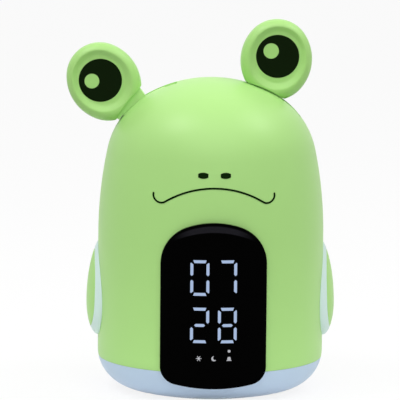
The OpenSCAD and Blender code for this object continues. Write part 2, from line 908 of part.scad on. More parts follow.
// Sun, moon and bell
module signs_2d(grow) {
    translate([sign_x[0], signs_z]) {
        circle(r = 0.62 + grow);
        for (a = [0 : 60 : 300])
            rotate(a) translate([1.05, 0]) square([0.42 + 2 * grow, 0.3 + 2 * grow], center = true);
    }
    translate([sign_x[1], signs_z])
        difference() {
            circle(r = 1.15 + grow);
            translate([0.55, 0.3]) circle(r = 0.95 - grow);
        }
    translate([sign_x[2], signs_z]) {
        translate([0, 0.1]) circle(r = 0.75 + grow);
        translate([0, -0.35]) square([1.5 + 2 * grow, 0.9 + 2 * grow], center = true);
        translate([0, -0.85]) square([2.2 + 2 * grow, 0.32 + 2 * grow], center = true);
    }
}

module dot_2d(grow) {
    translate([sign_x[2], dot_z]) circle(r = dot_r + grow);
}

module light_bars(depth) {
    intersection() {
        slab(front_y, box_flange_y - depth) children();
        rod_z(0, 0, outer_lens_r - 0.02, 0, big);
    }
}

module digit_bars_lit() color(lamp_white) {
    light_bars(3) digits_2d("lit", 0);
}

module digit_bars_unlit() color([0.05, 0.05, 0.06]) {
    light_bars(3) digits_2d("unlit", 0);
}

module status_signs() color(chalk) {
    light_bars(3) signs_2d(0);
}

module alarm_dot() color(lamp_white) {
    light_bars(3) dot_2d(0);
}

module display_bosses() {
    for (p = box_screws) rod_y(p[0], p[1], 3, -body_r, box_flange_y - seat_gap);
}

module display_pilots() {
    for (p = box_screws) rod_y(p[0], p[1], small_pilot_r, box_flange_y - 4, box_flange_y + 1);
}

module light_box() color(chalk) {
    difference() {
        union() {
            block(-box_flange_w, box_flange_w, box_flange_y, box_flange_y + box_flange_t, box_low, box_high);
            intersection() {
                block(-box_half_w, box_half_w, front_y, box_flange_y + 1, box_low, box_high);
                rod_z(0, 0, body_r - 0.1, 0, big);
            }
        }
        slab(front_y, -body_r / 2) {
            digits_2d("lit", bar_fit);
            digits_2d("unlit", bar_fit);
            signs_2d(bar_fit);
            dot_2d(bar_fit);
        }
        for (p = box_screws)
            rod_y(p[0], p[1], small_hole_r, box_flange_y - 1, box_flange_y + box_flange_t + 1);
    }
}

module display_board() color(board_green) {
    y0 = display_board_y;
    difference() {
        block(-box_flange_w, box_flange_w, y0, y0 + board_t, box_low, box_high);
        for (p = box_screws) rod_y(p[0], p[1], small_hole_r, y0 - 1, y0 + board_t + 1);
    }
}

// One chip at the back of each light well
module display_leds() color(lamp_white) {
    w = (digit_w - stroke_w) / 2;
    h = digit_h / 4;
    top = 2 * h - stroke_w / 2;
    for (k = [0 : 3])
        translate([(k % 2 - 0.5) * digit_pitch, 0, k < 2 ? hours_z : minutes_z])
            for (p = [[0, top], [w, h], [w, -h], [0, -top], [-w, -h], [-w, h], [0, 0]])
                block(p[0] - 0.5, p[0] + 0.5, leds_y - 0.7, leds_y + 0.1, p[1] - 0.5, p[1] + 0.5);
}

module display_screws() color(steel) {
    for (p = box_screws)
        translate([p[0], display_board_y + board_t + seat_gap / 2, p[1]])
            rotate([90, 0, 0])
                screw(small_head_r, small_head_h, small_r, board_t + box_flange_t + 3.4);
}

// Flat cable from the display's board down to the main board
module display_ribbon() color([0.75, 0.75, 0.78]) {
    y0 = display_board_y + board_t + seat_gap / 2;
    bend = 4;
    z0 = board_z + board_t + 0.1;
    rotate([90, 0, 90])
        translate([0, 0, -6])
            linear_extrude(12) {
                translate([y0, z0 + bend]) square([0.5, 8]);
                translate([y0 + bend, z0 + bend]) ring_sector(bend - 0.5, bend, 180, 270);
                translate([y0 + bend, z0]) square([3, 0.5]);
            }
}

// ---------- sides ----------

// Upright window in the Y-Z plane, moved in by inset
module window_outline(inset) {
    translate([0, window_z]) rotate(90) slot_2d(window_h - 2 * inset, window_w - 2 * inset);
}

// Prism of a Y-Z outline between two distances from the middle
module along_x(x0, x1) {
    translate([x0, 0, 0]) rotate([90, 0, 90]) linear_extrude(x1 - x0) children();
}

// Section of the side form over one arc of its outline: sloping flank, shoulder and flat top
module wing_section() {
    low_x = inner_r - 2;
    top_x = body_r + wing_blank;
    flank = tan(flank_deg);
    if ($arc_r > shoulder_in + 1)
        outline([
            [0, low_x],
            [$arc_r + (body_r - low_x) / flank, low_x],
            [$arc_r - shoulder_in, top_x - wing_shoulder_r, wing_shoulder_r, 90 - flank_deg, 90],
            [0, top_x]
        ]);
    else
        polygon([
            [0, low_x], [$arc_r + (body_r - low_x) / flank, low_x],
            [0.3, body_r + ($arc_r - 0.3) * flank], [0, body_r + ($arc_r - 0.3) * flank]
        ]);
}

module below_wing_line() {
    translate([-big / 2, wing_low_z - big, 0]) cube(big);
}

module above_wing_tip() {
    far = ceil(body_r / 3);
    translate([0, wing_tip_z, 0])
        linear_extrude(big)
            polygon([[0, 0], [4 * far, 3 * far], [-4 * far, 3 * far]]);
}

// Side form on the right, with the section swept around its outline
module wing_sides() {
    rotate([90, 0, 90]) {
        turned(wing_half_w - 0.02, 0, wing_low_z, -70) wing_section();
        difference() {
            intersection() {
                turned(wing_side_r, -wing_side_y, wing_low_z, 200) wing_section();
                turned(wing_side_r, wing_side_y, wing_low_z, -20) wing_section();
            }
            below_wing_line();
            above_wing_tip();
        }
        intersection() {
            turned(wing_tip_r, 0, wing_tip_z) wing_section();
            above_wing_tip();
        }
    }
}

// Side form with its crowned face. The sphere's poles lie away from the face's middle.
module wing_form() {
    $fn = 180;
    intersection() {
        wing_sides();
        translate([wing_x - wing_face_r, 0, wing_z]) rotate([17, 0, 0]) sphere(r = wing_face_r);
    }
}

// Cone about the body's axis, on which the ring meets the pad
module ring_limit(outset) {
    r = body_r + ring_out + outset;
    lean = tan(ring_lean);
    $fn = 180;
    rotate(180) cylinder(r1 = r + wing_z * lean, r2 = r + (wing_z - big) * lean, h = big);
}

module side_ring() {
    $fn = 180;
    difference() {
        intersection() {
            wing_form();
            ring_limit(0);
        }
        body_solid(-0.05);
    }
    intersection() {
        along_x(plug_x, wing_x)
            difference() {
                window_outline(slip_gap);
                window_outline(slip_gap + plug_wall);
            }
        ring_limit(-0.8);
    }
}

module side_pad() {
    difference() {
        wing_form();
        ring_limit(0.05);
    }
}

module left_side_ring() color(mint) { on_side(-1) side_ring(); }
module right_side_ring() color(mint) { side_ring(); }
module left_side_pad() color(leaf_dark) { on_side(-1) side_pad(); }
module right_side_pad() color(leaf_dark) { side_pad(); }

module side_lamp_boards() color(board_green) {
    half_w = window_w / 2 + 2;
    half_h = window_h / 2 + 2;
    chip = 1.4;
    both_sides() {
        block(lamp_x - board_t, lamp_x, -half_w, half_w, window_z - half_h, window_z + half_h);
        for (y = [-3.5, 3.5], z = [window_z - 6, window_z + 6])
            block(lamp_x - 0.1, lamp_x + lamp_h, y - chip, y + chip, z - chip, z + chip);
    }
}

// ---------- rear ----------

module sound_holes() {
    rod_y(0, speaker_z, sound_hole_r, 0, body_r + 5);
    for (ring = [1 : 3], k = [0 : 6 * ring - 1]) {
        p = polar(ring * sound_pitch, k * 60 / ring);
        rod_y(p[0], speaker_z + p[1], sound_hole_r, 0, body_r + 5);
    }
}

module rear_panel() color(leaf) {
    difference() {
        union() {
            intersection() {
                slab(body_r / 2, body_r + 5) panel_outline(-seat_gap);
                body_solid(seat_gap);
            }
            intersection() {
                slab(body_r / 2, body_r + 5) panel_outline(panel_rim);
                body_solid(wall + seat_gap);
            }
        }
        body_solid(panel_back);
        sound_holes();
        for (x = button_x) rod_y(x, button_z, button_r + slip_gap, 0, body_r + 5);
        slab(0, body_r + 5) translate([0, inlet_z]) inlet_2d(inlet_wall + slip_gap);
    }
    intersection() {
        difference() {
            union() {
                tube_y(0, speaker_z, speaker_r + slip_gap, speaker_r + 1.8, speaker_y, body_r);
                for (s = [-1, 1]) rod_y(s * speaker_ear_x, speaker_z, 2.4, speaker_y, body_r);
                for (p = button_screws)
                    rod_y(p[0], p[1], 2.2, button_board_y + board_t + seat_gap, body_r);
            }
            for (s = [-1, 1]) rod_y(s * speaker_ear_x, speaker_z, small_pilot_r, 0, speaker_y + 5);
            rod_y(0, speaker_z, speaker_r + slip_gap, 0, body_r);
            for (p = button_screws) rod_y(p[0], p[1], small_pilot_r, 0, button_board_y + board_t + 5);
        }
        body_solid(panel_back - 0.5);
    }
}

module push_button(k) {
    x = button_x[k];
    seat_y = button_seat_y(k);
    intersection() {
        rod_y(x, button_z, button_r, seat_y - 1, body_r + 5);
        rod_z(0, 0, body_r + button_proud, 0, big);
    }
    rod_y(x, button_z, button_r + button_rim, seat_y - button_flange_t, seat_y);
    rod_y(x, button_z, 1.5, switch_y + button_travel + 0.15, seat_y);
}

module button_light() color(mint) { push_button(0); }
module button_minus() color(mint) { push_button(1); }
module button_plus() color(mint) { push_button(2); }
module button_alarm() color(mint) { push_button(3); }

module button_board() color(board_green) {
    half = button_board_half;
    top_y = button_board_y + board_t;
    difference() {
        block(
            -half, half, button_board_y, top_y,
            button_z - button_board_down, button_z + button_board_up
        );
        for (p = button_screws) rod_y(p[0], p[1], small_hole_r, 0, body_r);
    }
    for (x = button_x)
        block(
            x - switch_half, x + switch_half, top_y - 0.1, switch_y,
            button_z - switch_half, button_z + switch_half
        );
}

// Section turned about the loudspeaker's axis, depth along +Y
module about_speaker() {
    translate([0, speaker_y, speaker_z]) rotate([-90, 0, 0]) rotate_extrude() children();
}

module speaker_basket() color(steel) {
    r = speaker_r;
    about_speaker()
        polygon([
            [r, 0.05], [r, speaker_t], [r - 2, speaker_t], [r - 2, 1.3],
            [r * 0.5, -5], [r * 0.5, -6.2], [r * 0.62, -6.2], [r - 2.4, 0.05]
        ]);
}

module speaker_cone() color([0.12, 0.12, 0.12]) {
    r = speaker_r - 2.2;
    about_speaker()
        polygon([
            [0, 1.3], [3.6, -0.9], [r - 2.2, 3.1], [r - 1, 3.7], [r, 3], [r, 2.5], [r - 1, 3.2],
            [r - 2.2, 2.5], [3.6, -1.5], [3.6, -4.4], [3.1, -4.4], [3.1, -1.1], [0, 0.8]
        ]);
}

module speaker_magnet() color(steel) {
    about_speaker() polygon([[0, -13], [8.6, -13], [8.6, -6.3], [2.8, -6.3], [2.8, -3.2], [0, -3.2]]);
}

module speaker_screws() color(steel) {
    for (s = [-1, 1])
        translate([s * speaker_ear_x, speaker_y - seat_gap / 2, speaker_z])
            rotate([-90, 0, 0]) {
                rod_z(0, 0, 4.2, -0.8, 0);
                translate([0, 0, -0.8]) screw(small_head_r, small_head_h, small_r, 5);
            }
}

module inlet_2d(grow) {
    slot_2d(inlet_w + 2 * grow, inlet_h + 2 * grow);
}

module power_inlet() color(steel) {
    difference() {
        slab(inlet_y, body_r - 0.3) translate([0, inlet_z]) inlet_2d(inlet_wall);
        slab(inlet_y + 1, body_r + 1) translate([0, inlet_z]) inlet_2d(0);
    }
    block(-3, 3, inlet_y + 0.5, body_r - 2.2, inlet_z - 0.35, inlet_z + 0.35);
    block(-4, 4, inlet_y - 4, inlet_y + 0.1, board_z + board_t, inlet_z + 1.6);
}

module main_board() color(board_green) {
    difference() {
        intersection() {
            rod_z(0, 0, inlet_y - 1, board_z, board_z + board_t);
            block(-big, big, box_flange_y + 9, big, 0, big);
        }
        for (a = [45 : 90 : 315])
            rotate([0, 0, a]) {
                rod_z(post_at, 0, post_r + 0.8, 0, big);
                block(post_at, big, -post_r - 0.8, post_r + 0.8, 0, big);
                rod_z(board_stand_at, 0, small_hole_r, 0, big);
            }
        both_sides() block(inner_r - 8, big, -16, 16, 0, big);
    }
}

module board_parts() color([0.15, 0.15, 0.16]) {
    top = board_z + board_t;
    socket_y = box_flange_y + socket_at;
    translate(chip_at) block(-chip_half, chip_half, -chip_half, chip_half, top, top + chip_h);
    translate(memory_at)
        block(
            -memory_half[0], memory_half[0], -memory_half[1], memory_half[1],
            top, top + memory_h
        );
    for (p = cans_at) rod_z(p[0], p[1], can_r, top, top + can_h);
    block(-socket_half_w, socket_half_w, socket_y, socket_y + socket_l, top, top + socket_h);
}

module board_screws() color(steel) {
    for (a = [45 : 90 : 315])
        rotate([0, 0, a])
            translate([board_stand_at, 0, board_z + board_t + 0.05])
                rotate([180, 0, 0])
                    screw(small_head_r, small_head_h, small_r, board_z + board_t - cup_top - cup_wall - 1);
}

// ---------- levers of the eyes ----------

module bracket_pilots() {
    for (p = bracket_screws_at) rod_z(p[0], p[1], small_pilot_r, bracket_z - 1, bracket_z + 9);
}

module lever_bracket() color(chalk) {
    difference() {
        union() {
            block(
                -plate_half_l, plate_half_l, -plate_half_w, plate_half_w,
                bracket_z - plate_t, bracket_z
            );
            for (s = [0, 1])
                mirror([0, s, 0])
                    slab(cheek_y, cheek_y + cheek_t) {
                        translate([0, bracket_z + 2.5]) square([2 * plate_half_l - 2, 7], center = true);
                        both_sides_2d() ear_2d();
                    }
            both_sides() rod_z(pivot_x, 0, brake_r + 1.8, bracket_z - plate_t - 7, bracket_z);
        }
        both_sides() {
            rod_y(pivot_x, pivot_z, pin_r + 0.02, -big, big);
            rod_z(pivot_x, 0, brake_r + 0.15, bracket_z - plate_t - 6, bracket_z + 1);
        }
        for (p = bracket_screws_at) rod_z(p[0], p[1], small_hole_r, 0, big);
    }
}

module both_sides_2d() {
    children();
    mirror([1, 0]) children();
}

// Rounded ear that carries one end of a pin
module ear_2d() {
    translate(pivot) circle(r = hub_r);
    translate([pivot_x - hub_r, bracket_z - 1]) square([2 * hub_r, pivot_z - bracket_z + 1]);
}

module lever_pins() color(steel) {
    reach_y = cheek_y + cheek_t + 0.3;
    both_sides() {
        rod_y(pivot_x, pivot_z, pin_r, -reach_y, reach_y);
        rod_y(pivot_x, pivot_z, pin_r + 1, -reach_y - 1, -reach_y);
    }
}

module brake_shoes() color(chalk) {
    tip = pivot_z - hub_r - free_gap;
    both_sides()
        translate([pivot_x, 0, 0]) {
            rod_z(0, 0, brake_r, bracket_z - plate_t - 2.4, tip - brake_r);
            translate([0, 0, tip - brake_r]) intersection() {
                sphere(r = brake_r);
                rod_z(0, 0, 2, 0, 2);
            }
        }
}

module brake_springs() color(steel) {
    both_sides()
        translate([pivot_x, 0, bracket_z - plate_t - 5.95]) spring(brake_r, 0.35, 3.5, 6);
}

module lever_switches() color([0.15, 0.15, 0.16]) {
    both_sides()
        translate([pivot_x - 2 * hub_r + 0.6, 0, bracket_z]) {
            block(-3.2, 3.2, -3, 3, 0.05, 6);
            block(3.1, 4.2, -1, 1, 3.4, 4.6);
        }
}

module bracket_screws() color(steel) {
    for (p = bracket_screws_at)
        translate([p[0], p[1], bracket_z - plate_t - 0.05])
            screw(small_head_r, small_head_h, small_r, plate_t + 7);
}

// Puts a lever's own frame at its pivot: +Z along the neck and +X outwards
module at_eye(side, tilt) {
    on_side(side) translate([pivot_x, 0, pivot_z]) rotate([0, eye_lean + tilt, 0]) children();
}

// The head's outline in a lever's own frame, with the eye at the given tilt
module head_from_eye(tilt, outset, half_t) {
    rotate([0, -eye_lean - tilt, 0])
        translate([-pivot_x, 0, -pivot_z])
            head_prism(outset, half_t);
}

module eye_lever() {
    home_deg = eye_tilt + slot_in_deg + shield_margin;
    away_deg = eye_tilt + slot_out_deg + shield_margin;
    difference() {
        union() {
            rod_y(0, 0, hub_r, -hub_half_t, hub_half_t);
            intersection() {
                block(-neck_half, neck_half, -neck_t / 2, neck_t / 2, 0, eye_rise);
                head_from_eye(0, eye_gap - 0.05, neck_t);
            }
            block(-blade_half_w, blade_half_w, 0.05, blade_t, shield_r, eye_screw_at[1] + 4.5);
            slab(-neck_t / 2, neck_t / 2) ring_sector(shield_r - shield_t, shield_r, 90 - away_deg, 90);
            intersection() {
                slab(-neck_t / 2, neck_t / 2) ring_sector(shield_r - shield_t, crest_r, 90, 90 + home_deg);
                head_from_eye(eye_tilt, -0.5, neck_t);
            }
        }
        rod_y(0, 0, pin_r + pin_fit, -big, big);
        for (s = [-1, 1]) rod_y(s * eye_screw_at[0], eye_screw_at[1], small_hole_r, -1, big);
    }
}

// The eye's closed form in the lever's frame, moved in by inset
module eye_form(inset) {
    half_l = eye_half_l - inset;
    roll = eye_roll_r - inset;
    front = eye_front_t - inset;
    back = eye_back_t - inset;
    difference() {
        translate([eye_shift, 0, eye_rise])
            oval_turn(half_l, eye_half_w - inset)
                outline([
                    [0, -back],
                    [$arc_r - roll, roll - back, roll, -90, 0],
                    [$arc_r - roll, front - roll, roll, 0, 90],
                    [0, front]
                ]);
        head_from_eye(0, eye_gap + inset, eye_back_t + 5);
    }
}

// Hollow of the dish, cut from the front
module dish_cut() {
    translate([eye_shift + dish_at[0], 0, eye_rise + dish_at[1]])
        oval_turn(dish_half_l, dish_half_w)
            polygon([
                [0, dish_floor], [$arc_r - dish_slope, dish_floor],
                [$arc_r + dish_slope / dish_depth, eye_front_t + 1], [0, eye_front_t + 1]
            ]);
}

module pupil_disc(r, t, glint_side, glint) {
    y1 = -dish_floor + pupil_t;
    slab(y1 - t, y1)
        translate([eye_shift, eye_rise] + pupil_at)
            difference() {
                circle(r = r);
                translate([glint_side * glint_at[0], glint_at[1]]) circle(r = glint);
            }
}

module eye_front(glint_side) {
    difference() {
        intersection() {
            eye_form(0);
            block(-big, big, -big, -0.025, -big, big);
        }
        difference() {
            intersection() {
                eye_form(eye_wall);
                block(-big, big, -cavity_front, 1, -big, big);
            }
            for (s = [-1, 1]) rod_y(s * eye_screw_at[0], eye_screw_at[1], 2.6, -big, big);
        }
        dish_cut();
        pupil_disc(pupil_r + 0.03, pupil_t + 1, glint_side, glint_r - 0.03);
        for (s = [-1, 1])
            rod_y(s * eye_screw_at[0], eye_screw_at[1], small_pilot_r, -dish_floor + 0.8, 1);
    }
}

module eye_back() {
    difference() {
        intersection() {
            eye_form(0);
            block(-big, big, 0.025, big, -big, big);
        }
        difference() {
            eye_form(eye_wall);
            for (s = [-1, 1]) rod_y(s * eye_screw_at[0], eye_screw_at[1], 3, -big, big);
        }
        block(
            -blade_half_w - seat_gap, blade_half_w + seat_gap, -1, blade_t + 0.05,
            shield_r, eye_screw_at[1] + 4.6
        );
        for (s = [-1, 1]) {
            rod_y(s * eye_screw_at[0], eye_screw_at[1], small_hole_r, 0, big);
            rod_y(s * eye_screw_at[0], eye_screw_at[1], small_head_r + 0.1, eye_screw_seat, big);
        }
    }
}

module eye_screws() {
    for (s = [-1, 1])
        translate([s * eye_screw_at[0], eye_screw_seat + 0.05, eye_screw_at[1]])
            rotate([90, 0, 0])
                screw(small_head_r - 0.1, 1.2, small_r, eye_screw_seat + dish_floor - 1);
}

module left_eye_lever() color(leaf_dark) { at_eye(-1, eye_tilt) eye_lever(); }
module left_eye_front() color(leaf) { at_eye(-1, eye_tilt) eye_front(1); }
module left_eye_back() color(leaf) { at_eye(-1, eye_tilt) eye_back(); }
module left_pupil() color(ink) { at_eye(-1, eye_tilt) pupil_disc(pupil_r, pupil_t + 0.05, 1, glint_r); }
module left_eye_screws() color(steel) { at_eye(-1, eye_tilt) eye_screws(); }
module right_eye_lever() color(leaf_dark) { at_eye(1, 0) eye_lever(); }
module right_eye_front() color(leaf) { at_eye(1, 0) eye_front(-1); }
module right_eye_back() color(leaf) { at_eye(1, 0) eye_back(); }
module right_pupil() color(ink) { at_eye(1, 0) pupil_disc(pupil_r, pupil_t + 0.05, -1, glint_r); }
module right_eye_screws() color(steel) { at_eye(1, 0) eye_screws(); }

body_shell();
base_tray();
foot_ring();
battery_door();
battery_cells();
battery_contacts();
base_screws();
lens();
light_box();
digit_bars_lit();
digit_bars_unlit();
status_signs();
alarm_dot();
display_board();
display_leds();
display_screws();
display_ribbon();
mouth_line();
nostrils();
left_side_ring();
left_side_pad();
right_side_ring();
right_side_pad();
side_lamp_boards();
rear_panel();
button_light();
button_minus();
button_plus();
button_alarm();
button_board();
speaker_basket();
speaker_cone();
speaker_magnet();
speaker_screws();
power_inlet();
main_board();
board_parts();
board_screws();
lever_bracket();
lever_pins();
brake_shoes();
brake_springs();
lever_switches();
bracket_screws();
left_eye_lever();
left_eye_front();
left_eye_back();
left_pupil();
left_eye_screws();
right_eye_lever();
right_eye_front();
right_eye_back();
right_pupil();
right_eye_screws();
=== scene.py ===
"""Looks of the frog-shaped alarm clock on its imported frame: materials, fine surfaces, studio and camera."""
import json
import math

import bmesh
import bpy
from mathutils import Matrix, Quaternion, Vector


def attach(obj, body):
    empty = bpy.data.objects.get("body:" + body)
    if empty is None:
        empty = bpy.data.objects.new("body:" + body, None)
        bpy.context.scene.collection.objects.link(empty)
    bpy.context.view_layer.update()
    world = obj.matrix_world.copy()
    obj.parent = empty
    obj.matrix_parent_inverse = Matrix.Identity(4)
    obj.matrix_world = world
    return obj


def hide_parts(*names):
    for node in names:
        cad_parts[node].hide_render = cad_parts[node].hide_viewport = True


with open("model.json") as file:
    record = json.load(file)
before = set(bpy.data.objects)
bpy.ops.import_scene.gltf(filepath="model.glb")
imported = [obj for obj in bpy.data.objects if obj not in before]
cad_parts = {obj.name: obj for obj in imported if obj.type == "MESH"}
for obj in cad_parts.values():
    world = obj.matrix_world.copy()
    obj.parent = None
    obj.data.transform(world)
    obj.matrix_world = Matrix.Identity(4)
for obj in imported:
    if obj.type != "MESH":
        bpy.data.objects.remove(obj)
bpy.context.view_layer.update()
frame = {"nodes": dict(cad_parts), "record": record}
NODES = frame["nodes"]
MM = 0.001


# ---------- materials ----------

# Scales of the noise in cycles per metre: clouds in plastic, brush marks in metal, chips behind a light guide
# and wiping marks on the lens
CLOUD_SCALE, BRUSH_SCALE, CHIP_SCALE, POLISH_SCALE = 35, 900, 160, 60
# How far roughness strays from its middle, and how strongly the moulded grain shows
PLASTIC_STRAY, METAL_STRAY, GRAIN_STRENGTH = 0.03, 0.08, 0.35
# How far a colour drifts to each side, as a share of it
PLASTIC_DRIFT, METAL_DRIFT, GLOW_DRIFT = 0.02, 0.06, 0.08

# Painted reflection: a grey crescent at the lens's top, between two arcs: heights of their centres, radii and
# soft borders, in metres
CRESCENT_LOW_C, CRESCENT_LOW_R, CRESCENT_LOW_SOFT = 0.0387, 0.042, (-0.0002, 0.0004)
CRESCENT_TOP_C, CRESCENT_TOP_R, CRESCENT_TOP_SOFT = 0.0491, 0.0347, (0.0003, -0.0005)
# Where the painted crescent's ends fade out and where it shows in full, to each side of the middle
CRESCENT_END, CRESCENT_FULL = 0.020, 0.009
LENS_POLISH = 0.06, 0.1


def srgb(r, g, b):
    """Linear colour with alpha from 0-255 display values."""
    def channel(v):
        v /= 255
        return v / 12.92 if v <= 0.04045 else ((v + 0.055) / 1.055) ** 2.4
    return (channel(r), channel(g), channel(b), 1.0)


def new_material(name):
    """Material with its node tree and its main shader."""
    material = bpy.data.materials.new(name)
    material.use_nodes = True
    tree = material.node_tree
    shader = tree.nodes["Principled BSDF"]
    return material, tree, shader


def noise(tree, scale, detail=2.0):
    """Noise in the object's own coordinates, in cycles per metre."""
    place = tree.nodes.new("ShaderNodeTexCoord")
    texture = tree.nodes.new("ShaderNodeTexNoise")
    texture.inputs["Scale"].default_value = scale
    texture.inputs["Detail"].default_value = detail
    tree.links.new(place.outputs["Object"], texture.inputs["Vector"])
    return texture.outputs["Fac"]


def between(tree, factor, low, high):
    """Low where the factor is 0 and high where it is 1."""
    remap = tree.nodes.new("ShaderNodeMapRange")
    remap.inputs["To Min"].default_value = low
    remap.inputs["To Max"].default_value = high
    tree.links.new(factor, remap.inputs["Value"])
    return remap.outputs["Result"]


def tint(tree, factor, colour, spread):
    """Colour that drifts a little lighter and darker with the factor."""
    mix = tree.nodes.new("ShaderNodeMix")
    mix.data_type = "RGBA"
    dark = [c * (1 - spread) for c in colour[:3]] + [1]
    light = [min(1, c * (1 + spread)) for c in colour[:3]] + [1]
    mix.inputs["A"].default_value = dark
    mix.inputs["B"].default_value = light
    tree.links.new(factor, mix.inputs["Factor"])
    return mix.outputs["Result"]


def bump(tree, height, distance, strength):
    """Normals of a surface that rises by this distance in metres."""
    node = tree.nodes.new("ShaderNodeBump")
    node.inputs["Distance"].default_value = distance
    node.inputs["Strength"].default_value = strength
    tree.links.new(height, node.inputs["Height"])
    return node.outputs["Normal"]


def plastic(name, colour, rough, shine=0.5, grain=2600, depth=0.00002):
    """Moulded plastic: a fine spark-eroded grain and slightly uneven gloss."""
    material, tree, shader = new_material(name)
    clouds = noise(tree, CLOUD_SCALE, 3)
    roughness = between(tree, clouds, rough - PLASTIC_STRAY, rough + PLASTIC_STRAY)
    tree.links.new(tint(tree, clouds, colour, PLASTIC_DRIFT), shader.inputs["Base Color"])
    tree.links.new(roughness, shader.inputs["Roughness"])
    tree.links.new(bump(tree, noise(tree, grain), depth, GRAIN_STRENGTH), shader.inputs["Normal"])
    shader.inputs["Specular IOR Level"].default_value = shine
    return material


def metal(name, colour, rough):
    """Plated metal with fine brush marks."""
    material, tree, shader = new_material(name)
    brushed = noise(tree, BRUSH_SCALE, 4)
    roughness = between(tree, brushed, rough - METAL_STRAY, rough + METAL_STRAY)
    tree.links.new(tint(tree, brushed, colour, METAL_DRIFT), shader.inputs["Base Color"])
    tree.links.new(roughness, shader.inputs["Roughness"])
    shader.inputs["Metallic"].default_value = 1
    return material


def glow(name, colour, strength):
    """Frosted light guide lit from behind, a little uneven as over a chip."""
    material, tree, shader = new_material(name)
    patch = noise(tree, CHIP_SCALE, 1)
    shader.inputs["Base Color"].default_value = (0.02, 0.02, 0.02, 1)
    tree.links.new(tint(tree, patch, colour, GLOW_DRIFT), shader.inputs["Emission Color"])
    shader.inputs["Emission Strength"].default_value = strength
    shader.inputs["Roughness"].default_value = 0.4
    shader.inputs["Specular IOR Level"].default_value = 0.04
    return material


def maths(tree, operation, *values):
    """Result of one maths node on numbers or on other nodes' outputs."""
    node = tree.nodes.new("ShaderNodeMath")
    node.operation = operation
    for socket, value in zip(node.inputs, values):
        if isinstance(value, (int, float)):
            socket.default_value = value
        else:
            tree.links.new(value, socket)
    return node.outputs[0]


def ramp(tree, value, low, high):
    """0 at low, 1 at high and smooth in between. Low may be the larger one."""
    node = tree.nodes.new("ShaderNodeMapRange")
    node.interpolation_type = "SMOOTHSTEP"
    node.inputs["From Min"].default_value = low
    node.inputs["From Max"].default_value = high
    tree.links.new(value, node.inputs["Value"])
    return node.outputs["Result"]


def black_lens_painted_reflection():
    """Polished black window with a soft grey crescent along its top: a painted reflection of the light where
    its top edge is rolled back.
    """
    material, tree, shader = new_material("black_lens_painted_reflection")
    place = tree.nodes.new("ShaderNodeTexCoord")
    axes = tree.nodes.new("ShaderNodeSeparateXYZ")
    tree.links.new(place.outputs["Object"], axes.inputs[0])
    x, z = axes.outputs["X"], axes.outputs["Z"]

    def past_arc(centre, radius, soft):
        """From 0 to 1 over the soft border of an arc whose centre is at this height."""
        rise = maths(tree, "SUBTRACT", z, centre)
        squares = maths(tree, "ADD", maths(tree, "MULTIPLY", x, x), maths(tree, "MULTIPLY", rise, rise))
        return ramp(tree, maths(tree, "SQRT", squares), radius + soft[0], radius + soft[1])

    above = past_arc(CRESCENT_LOW_C, CRESCENT_LOW_R, CRESCENT_LOW_SOFT)
    below = past_arc(CRESCENT_TOP_C, CRESCENT_TOP_R, CRESCENT_TOP_SOFT)
    fade = ramp(tree, maths(tree, "ABSOLUTE", x), CRESCENT_END, CRESCENT_FULL)
    # Mask of the painted reflection: within both arcs, faded towards the ends
    share = maths(tree, "MULTIPLY", maths(tree, "MULTIPLY", above, below), fade)
    mix = tree.nodes.new("ShaderNodeMix")
    mix.data_type = "RGBA"
    mix.inputs["A"].default_value = srgb(1, 1, 1)
    mix.inputs["B"].default_value = srgb(33, 32, 37)
    tree.links.new(share, mix.inputs["Factor"])
    tree.links.new(mix.outputs["Result"], shader.inputs["Base Color"])
    tree.links.new(between(tree, noise(tree, POLISH_SCALE), *LENS_POLISH), shader.inputs["Roughness"])
    shader.inputs["Specular IOR Level"].default_value = 0.01
    return material


LEAF = plastic("leaf_plastic", srgb(174, 223, 133), 0.38, shine=0.33)
# Painted light: the necks are the body's green plastic, painted lighter against the shade that they sit in
LEAF_NECK_PAINTED_LIGHTER = plastic("neck_plastic_painted_lighter", srgb(190, 238, 146), 0.42)
# Painted shade: the eyes' copy of the same green plastic, a little darker than the body's
LEAF_EYE_PAINTED_DARKER = plastic("eye_plastic_painted_darker", srgb(168, 219, 124), 0.4)
SKY = plastic("sky_plastic", srgb(189, 210, 233), 0.42)
MINT = plastic("mint_plastic", srgb(213, 236, 231), 0.4)
PUPIL = plastic("pupil_plastic", srgb(13, 27, 6), 0.4, shine=0.03)
INK = plastic("face_paint", srgb(9, 33, 3), 0.45, shine=0.03)
LENS = black_lens_painted_reflection()
SMOKED = plastic("smoked_bars", srgb(1, 1, 1), 0.12, shine=0.01, depth=0.000004)
DIGIT = glow("digit_light", srgb(170, 191, 225), 0.92)
SIGN = glow("sign_light", srgb(196, 198, 204), 0.8)
CHALK = plastic("white_moulding", srgb(225, 226, 222), 0.5)
BOARD = plastic("circuit_board", srgb(24, 92, 58), 0.35, grain=700)
DARK = plastic("dark_moulding", srgb(28, 28, 30), 0.45)
CONE = plastic("paper_cone", srgb(30, 30, 30), 0.8, grain=900, depth=0.0001)
RIBBON = plastic("flat_cable", srgb(190, 190, 196), 0.45)
STEEL = metal("plated_steel", srgb(190, 190, 194), 0.3)
CELL = plastic("cell_jacket", srgb(120, 124, 130), 0.35)
RUBBER = plastic("foot_rubber", srgb(84, 88, 94), 0.75, grain=1500, depth=0.00006)

FINISHES = {
    "leaf_green": LEAF,
    "sky_blue": SKY,
    "mint": MINT,
    "dark_green": INK,
    "black_gloss": LENS,
    "lamp_white": DIGIT,
    "smoked": SMOKED,
    "chalk": CHALK,
    "board": BOARD,
    "dark_plastic": DARK,
    "paper_cone": CONE,
    "ribbon": RIBBON,
    "steel": STEEL,
    "cell_jacket": CELL,
    "rubber": RUBBER,
}


def paint(obj, material):
    """Gives an object this one material."""
    obj.data.materials.clear()
    obj.data.materials.append(material)


